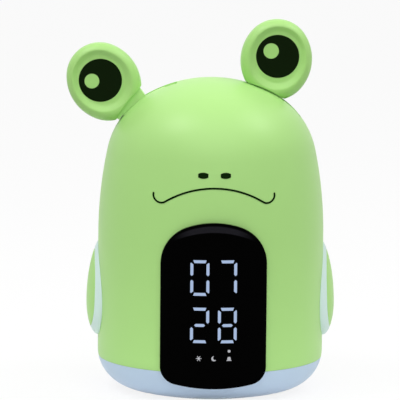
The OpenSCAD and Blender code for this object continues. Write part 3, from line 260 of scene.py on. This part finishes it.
# Nodes whose material differs from their slot's: the lit bars' own faces stay dark round the strokes, and the
# levers and eye backs take the green's copies painted lighter and darker, as painted light and shade
OWN_FINISHES_AND_PAINTED_TONES = {
    PUPIL: ("left_pupil", "right_pupil"),
    SIGN: ("status_signs", "alarm_dot"),
    SMOKED: ("digit_bars_lit",),
    LEAF_NECK_PAINTED_LIGHTER: ("left_eye_lever", "right_eye_lever"),
    LEAF_EYE_PAINTED_DARKER: ("left_eye_back", "right_eye_back"),
}

for part in frame["record"]["subparts"]:
    paint(NODES[part["node"]], FINISHES[part["material_slot"]])
for finish_or_painted_tone, names in OWN_FINISHES_AND_PAINTED_TONES.items():
    for name in names:
        paint(NODES[name], finish_or_painted_tone)


# ---------- mesh pieces, in mm until they are linked ----------

WELD = 1e-7
SHARP_FROM = math.radians(35)
HALVINGS = 40

# Body: its radius, the height up to which its wall is straight, the radii of its side and its shoulder, and
# the turns between which the shoulder runs. These and the eyes' sizes are the solids' own.
BODY_R, SIDE_Z, SIDE_ARC_R, SHOULDER_ARC_R = 53.0, 73.0, 194.0, 38.8
SHOULDER_FROM, SHOULDER_TO = math.radians(11.9), math.radians(61.6)

# Head's outline from the front: each arc's centre in X and Z, and its radius
SHOULDER_X = BODY_R - SIDE_ARC_R + (SIDE_ARC_R - SHOULDER_ARC_R) * math.cos(SHOULDER_FROM)
SHOULDER_Z = SIDE_Z + (SIDE_ARC_R - SHOULDER_ARC_R) * math.sin(SHOULDER_FROM)
CROWN_Z = SHOULDER_Z - SHOULDER_X * math.tan(SHOULDER_TO)
CROWN_ARC_R = SHOULDER_ARC_R + SHOULDER_X / math.cos(SHOULDER_TO)
HEAD_SIDE = (BODY_R - SIDE_ARC_R, SIDE_Z, SIDE_ARC_R)
HEAD_SHOULDER = (SHOULDER_X, SHOULDER_Z, SHOULDER_ARC_R)
HEAD_CROWN = (0.0, CROWN_Z, CROWN_ARC_R)

# Eyes, in X and Z from the pivot with the lever's axis upright, and in Y from the lever's middle plane
EYE_PIVOT = (20.1, 111.0)
EYE_LEAN, EYE_TILT = math.radians(5.9), math.radians(29.8)
EYE_CENTRE = (5.3, 44.9)
EYE_HALF_L, EYE_HALF_W = 18.95, 16.7
EYE_FRONT, EYE_ROLL, EYE_SEAM = 6.0, 5.0, 0.025
EYE_GAP, EYE_CUT_ROLL = 0.45, 0.5
# Rays and rings of the eye's face. The outer rings close up over the last stretch, towards the rolled edge.
EYE_RAYS, EYE_INNER_RINGS, EYE_OUTER_RINGS, EYE_OUTER_STRETCH = 288, 20, 26, 6.0
# Dish: its outline, its depth and the reach over which it falls. The bend is where the fall starts to ease.
DISH_CENTRE = (EYE_CENTRE[0] + 0.5, EYE_CENTRE[1] + 1.6)
DISH_HALF_L, DISH_HALF_W = EYE_HALF_L - 3.75, EYE_HALF_W - 2.8
DISH_DEPTH, DISH_REACH, DISH_BEND, CREST_ROLL = 1.8, 3.4, 0.74, 0.4
PUPIL_R, PUPIL_T, PUPIL_SINK, PUPIL_STEPS = 10.1, 0.06, 0.02, 128
NECK_HALF_W, NECK_HALF_T, NECK_SLIP = 6.75, 3.6, 0.35
# Flare beside the neck: how deep it sinks into the eye, how far within the eye's oval it stops, how deep in
# the neck it starts, and the turn between its points
FLARE_SINK, FLARE_INSET, FLARE_OVERLAP, FLARE_STEP = 0.5, 1.0, 0.3, math.radians(0.5)

# Each eye's side, its tilt at rest, the pupil's centre, and the glint's place from there and its radius
EYES = {
    "left": {"side": -1, "tilt": EYE_TILT, "centre": (6.12, 46.65), "glint": (3.42, 2.03), "glint_r": 3.45},
    "right": {"side": 1, "tilt": 0.0, "centre": (5.55, 46.81), "glint": (-3.3, 2.2), "glint_r": 3.6},
}


def link_piece(name, points, faces, body, slot, material, *replaced):
    """Closed mesh from points in mm, which rides on a body and may stand for CAD nodes."""
    mesh = bpy.data.meshes.new(name)
    mesh.from_pydata([[c * MM for c in p] for p in points], [], faces)
    shape = bmesh.new()
    shape.from_mesh(mesh)
    bmesh.ops.remove_doubles(shape, verts=shape.verts, dist=WELD)
    bmesh.ops.dissolve_degenerate(shape, edges=shape.edges, dist=WELD)
    bmesh.ops.recalc_face_normals(shape, faces=shape.faces)
    shape.to_mesh(mesh)
    shape.free()
    mesh.polygons.foreach_set("use_smooth", [True] * len(mesh.polygons))
    mesh.set_sharp_from_angle(angle=SHARP_FROM)
    piece = bpy.data.objects.new(name, mesh)
    bpy.context.scene.collection.objects.link(piece)
    paint(piece, material)
    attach(piece, body)
    if replaced:
        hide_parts(*replaced)


def reach(inside, limit):
    """How far a ray runs before it leaves a shape. Inside says whether a distance is still within it."""
    low, high = 0.0, limit
    for _ in range(HALVINGS):
        middle = (low + high) / 2
        low, high = (middle, high) if inside(middle) else (low, middle)
    return low


def prism(outline, levels, place):
    """Points and side walls of a solid between two copies of an outline.

    Place turns the outline's x and z and one of the two levels into a point in space.
    """
    n = len(outline)
    points = [place(x, z, level) for level in levels for x, z in outline]
    walls = [(i, (i + 1) % n, n + (i + 1) % n, n + i) for i in range(n)]
    return points, walls


def head_gap(x, z):
    """Distance of a point from the head's outline, as seen from the front."""
    x = abs(x)
    turn = math.atan2(z - HEAD_SHOULDER[1], x - HEAD_SHOULDER[0])
    if turn > SHOULDER_TO:
        arc = HEAD_CROWN
    elif turn > SHOULDER_FROM:
        arc = HEAD_SHOULDER
    else:
        arc = HEAD_SIDE
    return math.hypot(x - arc[0], z - arc[1]) - arc[2]


def turned(x, z, angle):
    """X and Z of a point of the right eye's own frame, once it is turned outwards about the pivot."""
    c, s = math.cos(angle), math.sin(angle)
    return EYE_PIVOT[0] + x * c + z * s, EYE_PIVOT[1] - x * s + z * c


def inside_oval(x, z, centre, half_l, half_w):
    """How far a point lies within the solids' oval, whose four arcs meet on lines that rise 3 in 4."""
    d = half_l - half_w
    u, w = abs(x - centre[0]), abs(z - centre[1])
    if w - 1.5 * d >= 0.75 * u:
        return 1.5 * half_w - 0.5 * half_l - math.hypot(u, w - 1.5 * d)
    return half_w + 2 * d - math.hypot(u + 2 * d, w)


def quarter(radius, inset):
    """Drop of a quarter-round edge at this distance inside it."""
    if inset >= radius:
        return 0.0
    return radius - math.sqrt(max(0.0, radius ** 2 - (radius - max(inset, 0.0)) ** 2))


def eye_insets(x, z):
    """How far a point lies within the eye's oval, and how far from the cut that follows the head."""
    oval = inside_oval(x, z, EYE_CENTRE, EYE_HALF_L, EYE_HALF_W)
    return oval, head_gap(*turned(x, z, EYE_LEAN)) - EYE_GAP


def eye_drop(x, z):
    """Depth of the eye's face behind its front plane: rolled edge, crest and dish in one smooth surface."""
    oval, cut = eye_insets(x, z)
    edge = max(quarter(EYE_ROLL, oval), quarter(EYE_CUT_ROLL, cut))
    inset = min(max(inside_oval(x, z, DISH_CENTRE, DISH_HALF_L, DISH_HALF_W) / DISH_REACH, 0.0), 1.0)
    bend = max(inset - DISH_BEND, 0.0)
    dish = DISH_DEPTH * 2 / (1 + DISH_BEND) * (inset - bend ** 2 / (2 - 2 * DISH_BEND))
    blend = max(CREST_ROLL - abs(edge - dish), 0.0) / CREST_ROLL
    return max(edge, dish) + blend ** 2 * CREST_ROLL / 4


def face_stops(edge):
    """Distances of the eye face's rings along a ray: even ones, then ones that close up on the edge."""
    flat = edge - EYE_OUTER_STRETCH
    turns = [math.pi / 2 * (k + 1) / EYE_OUTER_RINGS for k in range(EYE_OUTER_RINGS)]
    even = [flat * (k + 1) / EYE_INNER_RINGS for k in range(EYE_INNER_RINGS)]
    return even + [edge - EYE_OUTER_STRETCH * (1 - math.sin(turn)) for turn in turns]


def eye_front(name, side, tilt, centre):
    """Front shell of an eye: a fan of rays from the pupil's centre over the face, closed by a flat back."""
    points, faces = [], []

    def along(a, r):
        return centre[0] + math.cos(a) * r, centre[1] + math.sin(a) * r

    def put(x, z, y):
        px, pz = turned(x, z, EYE_LEAN + tilt)
        points.append((side * px, y, pz))

    put(*centre, eye_drop(*centre) - EYE_FRONT)
    rings = EYE_INNER_RINGS + EYE_OUTER_RINGS + 1
    for i in range(EYE_RAYS):
        a = 2 * math.pi * i / EYE_RAYS
        edge = reach(lambda r: min(eye_insets(*along(a, r))) > 0, 2 * EYE_HALF_L)
        for r in face_stops(edge):
            put(*along(a, r), eye_drop(*along(a, r)) - EYE_FRONT)
        put(*along(a, edge), -EYE_SEAM)
    put(*centre, -EYE_SEAM)
    back = len(points) - 1
    for i in range(EYE_RAYS):
        a, b = 1 + i * rings, 1 + (i + 1) % EYE_RAYS * rings
        faces.append((0, a, b))
        faces += [(a + k, a + k + 1, b + k + 1, b + k) for k in range(rings - 1)]
        faces.append((a + rings - 1, back, b + rings - 1))
    node = name + "_eye_front"
    link_piece(name + "_eye_dished_front", points, faces, name + "_eye", "leaf_green", LEAF_EYE_PAINTED_DARKER, node)


def pupil(name, side, tilt, centre, glint, glint_r):
    """Inlaid disc with a round hole through which the dish's floor shows as the glint."""
    top = DISH_DEPTH - EYE_FRONT - PUPIL_T
    low = DISH_DEPTH - EYE_FRONT + PUPIL_SINK
    soft = PUPIL_T / 2
    hole = (centre[0] + glint[0], centre[1] + glint[1])
    rows = [
        (hole, glint_r, low), (hole, glint_r, top + soft), (hole, glint_r + soft, top),
        (centre, PUPIL_R - soft, top), (centre, PUPIL_R, top + soft), (centre, PUPIL_R, low),
    ]
    points, faces = [], []
    for middle, r, y in rows:
        for i in range(PUPIL_STEPS):
            a = 2 * math.pi * i / PUPIL_STEPS
            px, pz = turned(middle[0] + r * math.cos(a), middle[1] + r * math.sin(a), EYE_LEAN + tilt)
            points.append((side * px, y, pz))
    for k in range(len(rows)):
        this, following = k * PUPIL_STEPS, (k + 1) % len(rows) * PUPIL_STEPS
        for i in range(PUPIL_STEPS):
            j = (i + 1) % PUPIL_STEPS
            faces.append((this + i, this + j, following + j, following + i))
    link_piece(name + "_pupil_disc", points, faces, name + "_eye", "dark_green", PUPIL, name + "_pupil")


def reach_to_head(angle, gap):
    """Distance from the pivot to where the head's outline is this gap away, at this turn from upright."""
    def inside(r):
        return head_gap(EYE_PIVOT[0] + r * math.sin(angle), EYE_PIVOT[1] + r * math.cos(angle)) < gap

    return reach(inside, EYE_CENTRE[1])


def neck_flare(name, side, tilt):
    """Web on the neck's outer side that fills the wedge between the tilted eye's corner and the head."""
    full_tilt = EYE_LEAN + EYE_TILT
    slot_end = full_tilt + math.asin((NECK_HALF_W + NECK_SLIP) / reach_to_head(full_tilt, 0))
    low_r = reach_to_head(slot_end, 0) + NECK_SLIP
    low, high = [], []
    angle = math.asin((NECK_HALF_W - FLARE_OVERLAP) / low_r)
    while True:
        high_r = reach_to_head(EYE_LEAN + angle, EYE_GAP) + FLARE_SINK
        tip = (high_r * math.sin(angle), high_r * math.cos(angle))
        if inside_oval(*tip, EYE_CENTRE, EYE_HALF_L, EYE_HALF_W) < FLARE_INSET or high_r < low_r + FLARE_SINK:
            break
        low.append((low_r * math.sin(angle), low_r * math.cos(angle)))
        high.append(tip)
        angle += FLARE_STEP

    def place(x, z, y):
        px, pz = turned(x, z, EYE_LEAN + tilt)
        return (side * px, y, pz)

    outline = low + high[::-1]
    n = len(outline)
    points, walls = prism(outline, (-NECK_HALF_T, NECK_HALF_T), place)
    caps = [(first + k, first + k + 1, first + n - 2 - k, first + n - 1 - k)
            for first in (0, n) for k in range(len(low) - 1)]
    link_piece(name + "_neck_flare", points, caps + walls, name + "_eye", "leaf_green", LEAF_NECK_PAINTED_LIGHTER)


for name, eye in EYES.items():
    neck_flare(name, eye["side"], eye["tilt"])
    eye_front(name, eye["side"], eye["tilt"], eye["centre"])
    pupil(name, eye["side"], eye["tilt"], eye["centre"], eye["glint"], eye["glint_r"])


# Side grips: a smooth drop-shaped cushion on the body's wall, split into an outer ring and a pad.
# The wall's radius and how far out the face stands, then the outline: the height of its middle, its reach
# upwards, downwards and to each side, and the powers of its curves at the tip and the foot.
WALL_R, GRIP_FACE_X = BODY_R + 0.03, 58.46
GRIP_Z, GRIP_UP, GRIP_DOWN, GRIP_HALF_W = 41.0, 28.25, 16.1, 14.6
GRIP_TIP_POWER, GRIP_FOOT_POWER, GRIP_STEPS = 1.9, 2.3, 160
# The face is round at the foot, and its power grows by this much up to the leaner tip
GRIP_ROUND, GRIP_LEAN = 0.5, 0.3
# Where the pad ends, as a share of the reach: at the sides, how much more at the top, half the gap to the
# ring and the rolled edge. The roll's depth is in mm.
PAD_SHARE, PAD_SHARE_RISE, PAD_GAP, PAD_ROLL_SHARE, PAD_ROLL = 0.81, 0.061, 0.004, 0.006, 0.12
PAD_STEPS, PAD_WALL_STEPS, RING_STEPS, RING_WALL_STEPS = 24, 8, 16, 6


def grip_reach(angle):
    """Distance from the grip's middle to its drop-shaped outline, as seen from the side."""
    def inside(r):
        y, z = abs(r * math.cos(angle)), r * math.sin(angle)
        if z > 0:
            return z < GRIP_UP and y < GRIP_HALF_W * (1 - (z / GRIP_UP) ** GRIP_TIP_POWER)
        return (y / GRIP_HALF_W) ** GRIP_FOOT_POWER + (-z / GRIP_DOWN) ** GRIP_FOOT_POWER < 1

    return reach(inside, 2 * GRIP_UP)


def grip_point(side, angle, outline_r, share, sunk=0.0, on_wall=False):
    """Point at this share of the way from the grip's middle to its outline, on its face or on the wall."""
    y, z = share * outline_r * math.cos(angle), GRIP_Z + share * outline_r * math.sin(angle)
    if on_wall:
        return (side * math.sqrt(WALL_R ** 2 - y ** 2), y, z)
    edge = math.sqrt(WALL_R ** 2 - (outline_r * math.cos(angle)) ** 2)
    power = GRIP_ROUND + GRIP_LEAN * (1 + math.sin(angle)) / 2
    bulge = (GRIP_FACE_X - edge) * max(0.0, 1 - share ** 2) ** power
    return (side * (edge + bulge - sunk), y, z)


def grip_part(name, side, rows, slot, material, node, capped):
    """Closed loft over rows. Each is a share of the reach, a depth and whether it lies on the wall."""
    points, faces = [], []
    for i in range(GRIP_STEPS):
        angle = 2 * math.pi * i / GRIP_STEPS
        outline_r = grip_reach(angle)
        points += [grip_point(side, angle, outline_r, *row) for row in rows(angle)]
    n = len(points) // GRIP_STEPS
    for i in range(GRIP_STEPS):
        a, b = i * n, (i + 1) % GRIP_STEPS * n
        faces += [(a + k, a + k + 1, b + k + 1, b + k) for k in range(n - 1)]
        if not capped:
            faces.append((a + n - 1, a, b, b + n - 1))
    link_piece(name, points, faces, "housing", slot, material, node)


def pad_rim(angle):
    """Share of the reach at which the pad meets the ring."""
    return PAD_SHARE + PAD_SHARE_RISE * math.sin(angle) ** 3


def pad_rows(angle):
    rim = pad_rim(angle) - PAD_GAP
    face = [(rim * k / PAD_STEPS, 0.0, False) for k in range(PAD_STEPS)]
    edge = [(rim - PAD_ROLL_SHARE, 0.0, False), (rim, PAD_ROLL, False)]
    wall = [(rim * k / PAD_WALL_STEPS, 0.0, True) for k in range(PAD_WALL_STEPS, -1, -1)]
    return face + edge + wall


def ring_rows(angle):
    rim = pad_rim(angle) + PAD_GAP
    width = 1 - rim
    turns = [math.pi / 2 * k / RING_STEPS for k in range(2, RING_STEPS + 1)]
    edge = [(rim, PAD_ROLL, False), (rim + PAD_ROLL_SHARE, 0.0, False)]
    face = [(rim + width * math.sin(turn), 0.0, False) for turn in turns]
    wall = [(1 - width * k / RING_WALL_STEPS, 0.0, True) for k in range(RING_WALL_STEPS + 1)]
    return edge + face + wall


for name, side in (("left", -1), ("right", 1)):
    grip_part(name + "_side_grip_ring", side, ring_rows, "mint", MINT, name + "_side_ring", False)
    grip_part(name + "_side_grip_pad", side, pad_rows, "leaf_green", LEAF, name + "_side_pad", True)


# Lit strokes of the four digits, narrower by a margin than the windows that they shine through
DIGIT_HALF_W, DIGIT_HALF_H, STROKE_W = 4.53, 8.4, 1.75
DIGIT_PITCH, DIGIT_ROWS = 12.54, (59.9, 38.0)
LENS_R = BODY_R + 1.5
STROKE_MARGIN, STROKE_RADII, STROKE_STEPS = 0.2, (LENS_R - 0.1, LENS_R), 8
# Level strokes stop short of the digit's side by the first number, and of the uprights by the second
LEVEL_SHORT, LEVEL_GAP = 1.2, 0.1
# Uprights: cut corner at the top and inner edge's top, below the digit's top, and the foot above its middle
UPRIGHT_CUT_X, UPRIGHT_CUT_Z, UPRIGHT_TOP, UPRIGHT_INNER_TOP = 0.55, 1.1, 1.6, 2.1
UPRIGHT_TIP, UPRIGHT_FOOT, UPRIGHT_INNER_FOOT = 0.6, 1.4, 1.5
# Each digit's strokes, and how far its light sits off the middle of its windows
LIT_STROKES = (("abcdef", -0.19), ("abc", -0.05), ("abdeg", -0.14), ("abcdefg", 0.0))
TOUCH = 1e-9


def stroke(name):
    """Corners of one stroke of a seven-stroke digit about the digit's middle."""
    w, h, t = DIGIT_HALF_W, DIGIT_HALF_H, STROKE_W
    if name in "ad":
        outer, inner = w - LEVEL_SHORT, w - t - LEVEL_GAP
        points = [(outer, h), (-outer, h), (-inner, h - t), (inner, h - t)]
    elif name == "g":
        tip, flat = w - t, w - 1.5 * t
        points = [(tip, 0), (flat, t / 2), (-flat, t / 2), (-tip, 0), (-flat, -t / 2), (flat, -t / 2)]
    else:
        points = [
            (w, h - UPRIGHT_TOP), (w - UPRIGHT_CUT_X, h - UPRIGHT_CUT_Z), (w - t, h - UPRIGHT_INNER_TOP),
            (w - t, UPRIGHT_INNER_FOOT), (w - t / 2, UPRIGHT_TIP), (w, UPRIGHT_FOOT),
        ]
    flip_x, flip_z = (-1 if name in "ef" else 1), (-1 if name in "cde" else 1)
    return [(x * flip_x, z * flip_z) for x, z in points]


def sides(points):
    """Each side of a convex outline, as its start and its outward normal."""
    middle = [sum(c) / len(points) for c in zip(*points)]
    for a, b in zip(points, points[1:] + points[:1]):
        length = math.hypot(b[0] - a[0], b[1] - a[1])
        normal = ((b[1] - a[1]) / length, (a[0] - b[0]) / length)
        if (a[0] - middle[0]) * normal[0] + (a[1] - middle[1]) * normal[1] < 0:
            normal = (-normal[0], -normal[1])
        yield a, normal


def shrunk(points, margin):
    """The convex outline with every side moved inwards by the margin."""
    lines = [(n, a[0] * n[0] + a[1] * n[1] - margin) for a, n in sides(points)]
    corners = []
    for (n, d), (m, e) in zip(lines, lines[1:] + lines[:1]):
        det = n[0] * m[1] - n[1] * m[0]
        corners.append(((d * m[1] - e * n[1]) / det, (n[0] * e - m[0] * d) / det))
    return corners


def span(points, x):
    """Lowest and highest Z of a convex outline at this X."""
    heights = []
    for a, b in zip(points, points[1:] + points[:1]):
        if min(a[0], b[0]) - TOUCH <= x <= max(a[0], b[0]) + TOUCH:
            if abs(a[0] - b[0]) < TOUCH:
                heights += [a[1], b[1]]
            else:
                heights.append(a[1] + (b[1] - a[1]) * (x - a[0]) / (b[0] - a[0]))
    return min(heights), max(heights)


def stroke_stops(outline):
    """X of each corner and of even steps from end to end, so that the stroke can follow the lens's curve."""
    left, right = min(p[0] for p in outline), max(p[0] for p in outline)
    steps = {left + (right - left) * i / STROKE_STEPS for i in range(STROKE_STEPS + 1)}
    return sorted({p[0] for p in outline} | steps)


def digit_strokes():
    """Closed bars that follow the lens's curve."""
    points, faces = [], []
    for k, (names, nudge) in enumerate(LIT_STROKES):
        shift_x, shift_z = (k % 2 - 0.5) * DIGIT_PITCH + nudge, DIGIT_ROWS[k // 2]
        for name in names:
            outline = shrunk(stroke(name), STROKE_MARGIN)
            stops = stroke_stops(outline)
            first = len(points)
            for x in stops:
                low, high = span(outline, x)
                for r in STROKE_RADII:
                    y = -math.sqrt(r ** 2 - (x + shift_x) ** 2)
                    points += [(x + shift_x, y, low + shift_z), (x + shift_x, y, high + shift_z)]
            for i in range(len(stops) - 1):
                a, b = first + 4 * i, first + 4 * i + 4
                faces += [(a + p, a + q, b + q, b + p) for p, q in ((0, 1), (1, 3), (3, 2), (2, 0))]
            last = len(points) - 4
            faces += [(end, end + 1, end + 3, end + 2) for end in (first, last)]
    link_piece("digit_lit_strokes", points, faces, "housing", "lamp_white", DIGIT)


digit_strokes()


# Signs printed on the four keys at the back: the keys' height, and the radii of a sign's two faces
KEY_Z, KEY_PRINT_R = 38.0, (BODY_R + 1.1, BODY_R + 1.28)
ROUND_STEPS = 28
# Bell: half-round dome on a waist that flares to the rim
DOME_R, DOME_Z, DOME_STEPS = 1.15, 0.55, 16
BELL_WAIST, BELL_WAIST_Z, BELL_RIM, BELL_RIM_Z = 1.2, -0.35, 1.75, -1.0


def disc(x, z, r):
    turns = [2 * math.pi * i / ROUND_STEPS for i in range(ROUND_STEPS)]
    return [(x + r * math.cos(a), z + r * math.sin(a)) for a in turns]


def bar(half_w, half_h, x=0.0, z=0.0):
    corners = (-half_w, -half_h), (half_w, -half_h), (half_w, half_h), (-half_w, half_h)
    return [(x + u, z + w) for u, w in corners]


def cross(reach_out, half_t):
    """Plus sign, whose three corners on one arm are turned by a quarter for each of the others."""
    corners = [(half_t, half_t), (half_t, reach_out), (-half_t, reach_out)]
    points = []
    for _ in range(4):
        points += corners
        corners = [(-z, x) for x, z in corners]
    return points


def bell():
    turns = [math.pi * i / DOME_STEPS for i in range(DOME_STEPS + 1)]
    dome = [(DOME_R * math.cos(a), DOME_Z + DOME_R * math.sin(a)) for a in turns]
    foot = [(BELL_WAIST, BELL_WAIST_Z), (BELL_RIM, BELL_RIM_Z)]
    return dome + [(-x, z) for x, z in foot] + foot[::-1]


# Each key's place from the middle, and its sign as outlines about the key's own middle
KEY_SIGNS = {
    "key_light": (-18.0, [disc(0, 0.5, 1.3), bar(0.65, 0.2, z=-1.15), bar(0.45, 0.2, z=-1.75)]),
    "key_minus": (-6.0, [bar(1.7, 0.32)]),
    "key_plus": (6.0, [cross(1.7, 0.32)]),
    "key_alarm": (18.0, [bell(), disc(0, -1.5, 0.32)]),
}


def key_sign(body, key_x, outlines):
    """Thin print on the key's curved face."""
    def place(x, z, r):
        return (key_x + x, math.sqrt(r ** 2 - (key_x + x) ** 2), KEY_Z + z)

    points, faces = [], []
    for outline in outlines:
        first, n = len(points), len(outline)
        shape, walls = prism(outline, KEY_PRINT_R, place)
        points += shape
        faces += [tuple(range(first + start, first + start + n)) for start in (0, n)]
        faces += [tuple(first + i for i in wall) for wall in walls]
    link_piece(body + "_sign", points, faces, body, "dark_plastic", DARK)


for body, (key_x, outlines) in KEY_SIGNS.items():
    key_sign(body, key_x, outlines)


# ---------- studio, in metres ----------

# Strength of the air's light at the horizon and overhead, and the sine of the elevation from which it is full
AIR_LOW, AIR_HIGH, AIR_FULL = 0.46, 0.74, 0.85
# The floor lies a hair below the feet. Share of the light that it throws back on the object: bright within
# the near radius and dim beyond the far one.
FLOOR_HALF, FLOOR_Z = 6, -0.00005
FLOOR_BRIGHT, FLOOR_DIM, FLOOR_NEAR, FLOOR_FAR = 0.95, 0.25, 0.08, 0.3
# How far the floor looks plain white, over the grey of its own shading
FLOOR_WHITE = 0.86
HEART = Vector((0, 0, 0.09))
# Soft boxes: azimuth from the front and elevation in degrees, distance and side in metres, power in watts
LAMPS = {
    "left_box": (-67, 60, 1.0, 0.35, 2.4),
    "right_box": (86, 53, 1.0, 0.35, 2.1),
    "front_box": (0, 50, 0.7, 0.7, 1.6),
}


def seen_directly(tree):
    """1 for the camera, mirrors and glass, and 0 for light that falls on the object."""
    path = tree.nodes.new("ShaderNodeLightPath").outputs
    mirrored = maths(tree, "MAXIMUM", path["Is Glossy Ray"], path["Is Transmission Ray"])
    return maths(tree, "MAXIMUM", path["Is Camera Ray"], mirrored)


def whiten(tree, surface, share):
    """Lets the camera, mirrors and glass see plain white instead of this share of the surface."""
    white = tree.nodes.new("ShaderNodeEmission")
    white.inputs["Strength"].default_value = 1
    mix = tree.nodes.new("ShaderNodeMixShader")
    tree.links.new(maths(tree, "MULTIPLY", seen_directly(tree), share), mix.inputs["Fac"])
    tree.links.new(surface, mix.inputs[1])
    tree.links.new(white.outputs[0], mix.inputs[2])
    return mix.outputs[0]


def make_world():
    """White air that grows brighter overhead."""
    world = bpy.data.worlds.new("studio_air")
    world.use_nodes = True
    tree = world.node_tree
    air = tree.nodes["Background"]
    air.inputs["Color"].default_value = (1, 1, 1, 1)
    place = tree.nodes.new("ShaderNodeTexCoord")
    axes = tree.nodes.new("ShaderNodeSeparateXYZ")
    tree.links.new(place.outputs["Generated"], axes.inputs[0])
    rise = ramp(tree, axes.outputs["Z"], 0.0, AIR_FULL)
    tree.links.new(between(tree, rise, AIR_LOW, AIR_HIGH), air.inputs["Strength"])
    tree.links.new(whiten(tree, air.outputs[0], 1), tree.nodes["World Output"].inputs["Surface"])
    bpy.context.scene.world = world


def floor_material():
    """White floor with the object's shadow, which lights the object as a small sheet of paper would."""
    material, tree, shader = new_material("studio_floor")
    shader.inputs["Base Color"].default_value = (0.95, 0.95, 0.95, 1)
    shader.inputs["Roughness"].default_value = 0.9
    shader.inputs["Specular IOR Level"].default_value = 0.1
    bounce = tree.nodes.new("ShaderNodeBsdfDiffuse")
    place = tree.nodes.new("ShaderNodeTexCoord")
    away = tree.nodes.new("ShaderNodeVectorMath")
    away.operation = "LENGTH"
    tree.links.new(place.outputs["Object"], away.inputs[0])
    near = ramp(tree, away.outputs["Value"], FLOOR_FAR, FLOOR_NEAR)
    tree.links.new(between(tree, near, FLOOR_DIM, FLOOR_BRIGHT), bounce.inputs["Color"])
    mix = tree.nodes.new("ShaderNodeMixShader")
    tree.links.new(seen_directly(tree), mix.inputs["Fac"])
    tree.links.new(bounce.outputs[0], mix.inputs[1])
    tree.links.new(whiten(tree, shader.outputs[0], FLOOR_WHITE), mix.inputs[2])
    tree.links.new(mix.outputs[0], tree.nodes["Material Output"].inputs["Surface"])
    return material


def make_floor():
    corners = [(x * FLOOR_HALF, y * FLOOR_HALF, FLOOR_Z) for x, y in ((-1, -1), (1, -1), (1, 1), (-1, 1))]
    mesh = bpy.data.meshes.new("studio_floor")
    mesh.from_pydata(corners, [], [(0, 1, 2, 3)])
    floor = bpy.data.objects.new("studio_floor", mesh)
    bpy.context.scene.collection.objects.link(floor)
    paint(floor, floor_material())


def lamp(name, azimuth, elevation, distance, size, watts):
    """Soft box that looks at the middle of the clock."""
    light = bpy.data.lights.new(name, "AREA")
    light.shape = "RECTANGLE"
    light.size = light.size_y = size
    light.energy = watts
    holder = bpy.data.objects.new(name, light)
    a, e = math.radians(azimuth), math.radians(elevation)
    away = Vector((math.sin(a) * math.cos(e), -math.cos(a) * math.cos(e), math.sin(e)))
    holder.location = HEART + away * distance
    holder.rotation_mode = "QUATERNION"
    holder.rotation_quaternion = (-away).to_track_quat("-Z", "Y")
    bpy.context.scene.collection.objects.link(holder)


make_world()
make_floor()
for name, settings in LAMPS.items():
    lamp(name, *settings)


# ---------- camera ----------

# The camera's distance from the Z axis, its height and its azimuth in degrees, and the point that it looks at
CAMERA_R, CAMERA_Z, CAMERA_AZ = 1609 * MM, 303.2 * MM, 1.76
AIM = Vector((-5.2, 0, 88.61)) * MM
# Focal length in pixels of the 400-pixel picture, sensor width in mm, and roll in radians
FOCAL_PX, PICTURE_PX, SENSOR_MM, ROLL = 3449.1, 400, 36, 0.0081


def make_camera():
    data = bpy.data.cameras.new("camera")
    data.sensor_width = SENSOR_MM
    data.lens = FOCAL_PX * SENSOR_MM / PICTURE_PX
    camera = bpy.data.objects.new("camera", data)
    a = math.radians(CAMERA_AZ)
    camera.location = (-CAMERA_R * math.sin(a), -CAMERA_R * math.cos(a), CAMERA_Z)
    camera.rotation_mode = "QUATERNION"
    look = (AIM - camera.location).to_track_quat("-Z", "Y")
    camera.rotation_quaternion = look @ Quaternion((0, 0, 1), ROLL)
    bpy.context.scene.collection.objects.link(camera)
    bpy.context.scene.camera = camera


make_camera()
bpy.context.scene.view_settings.view_transform = "Standard"
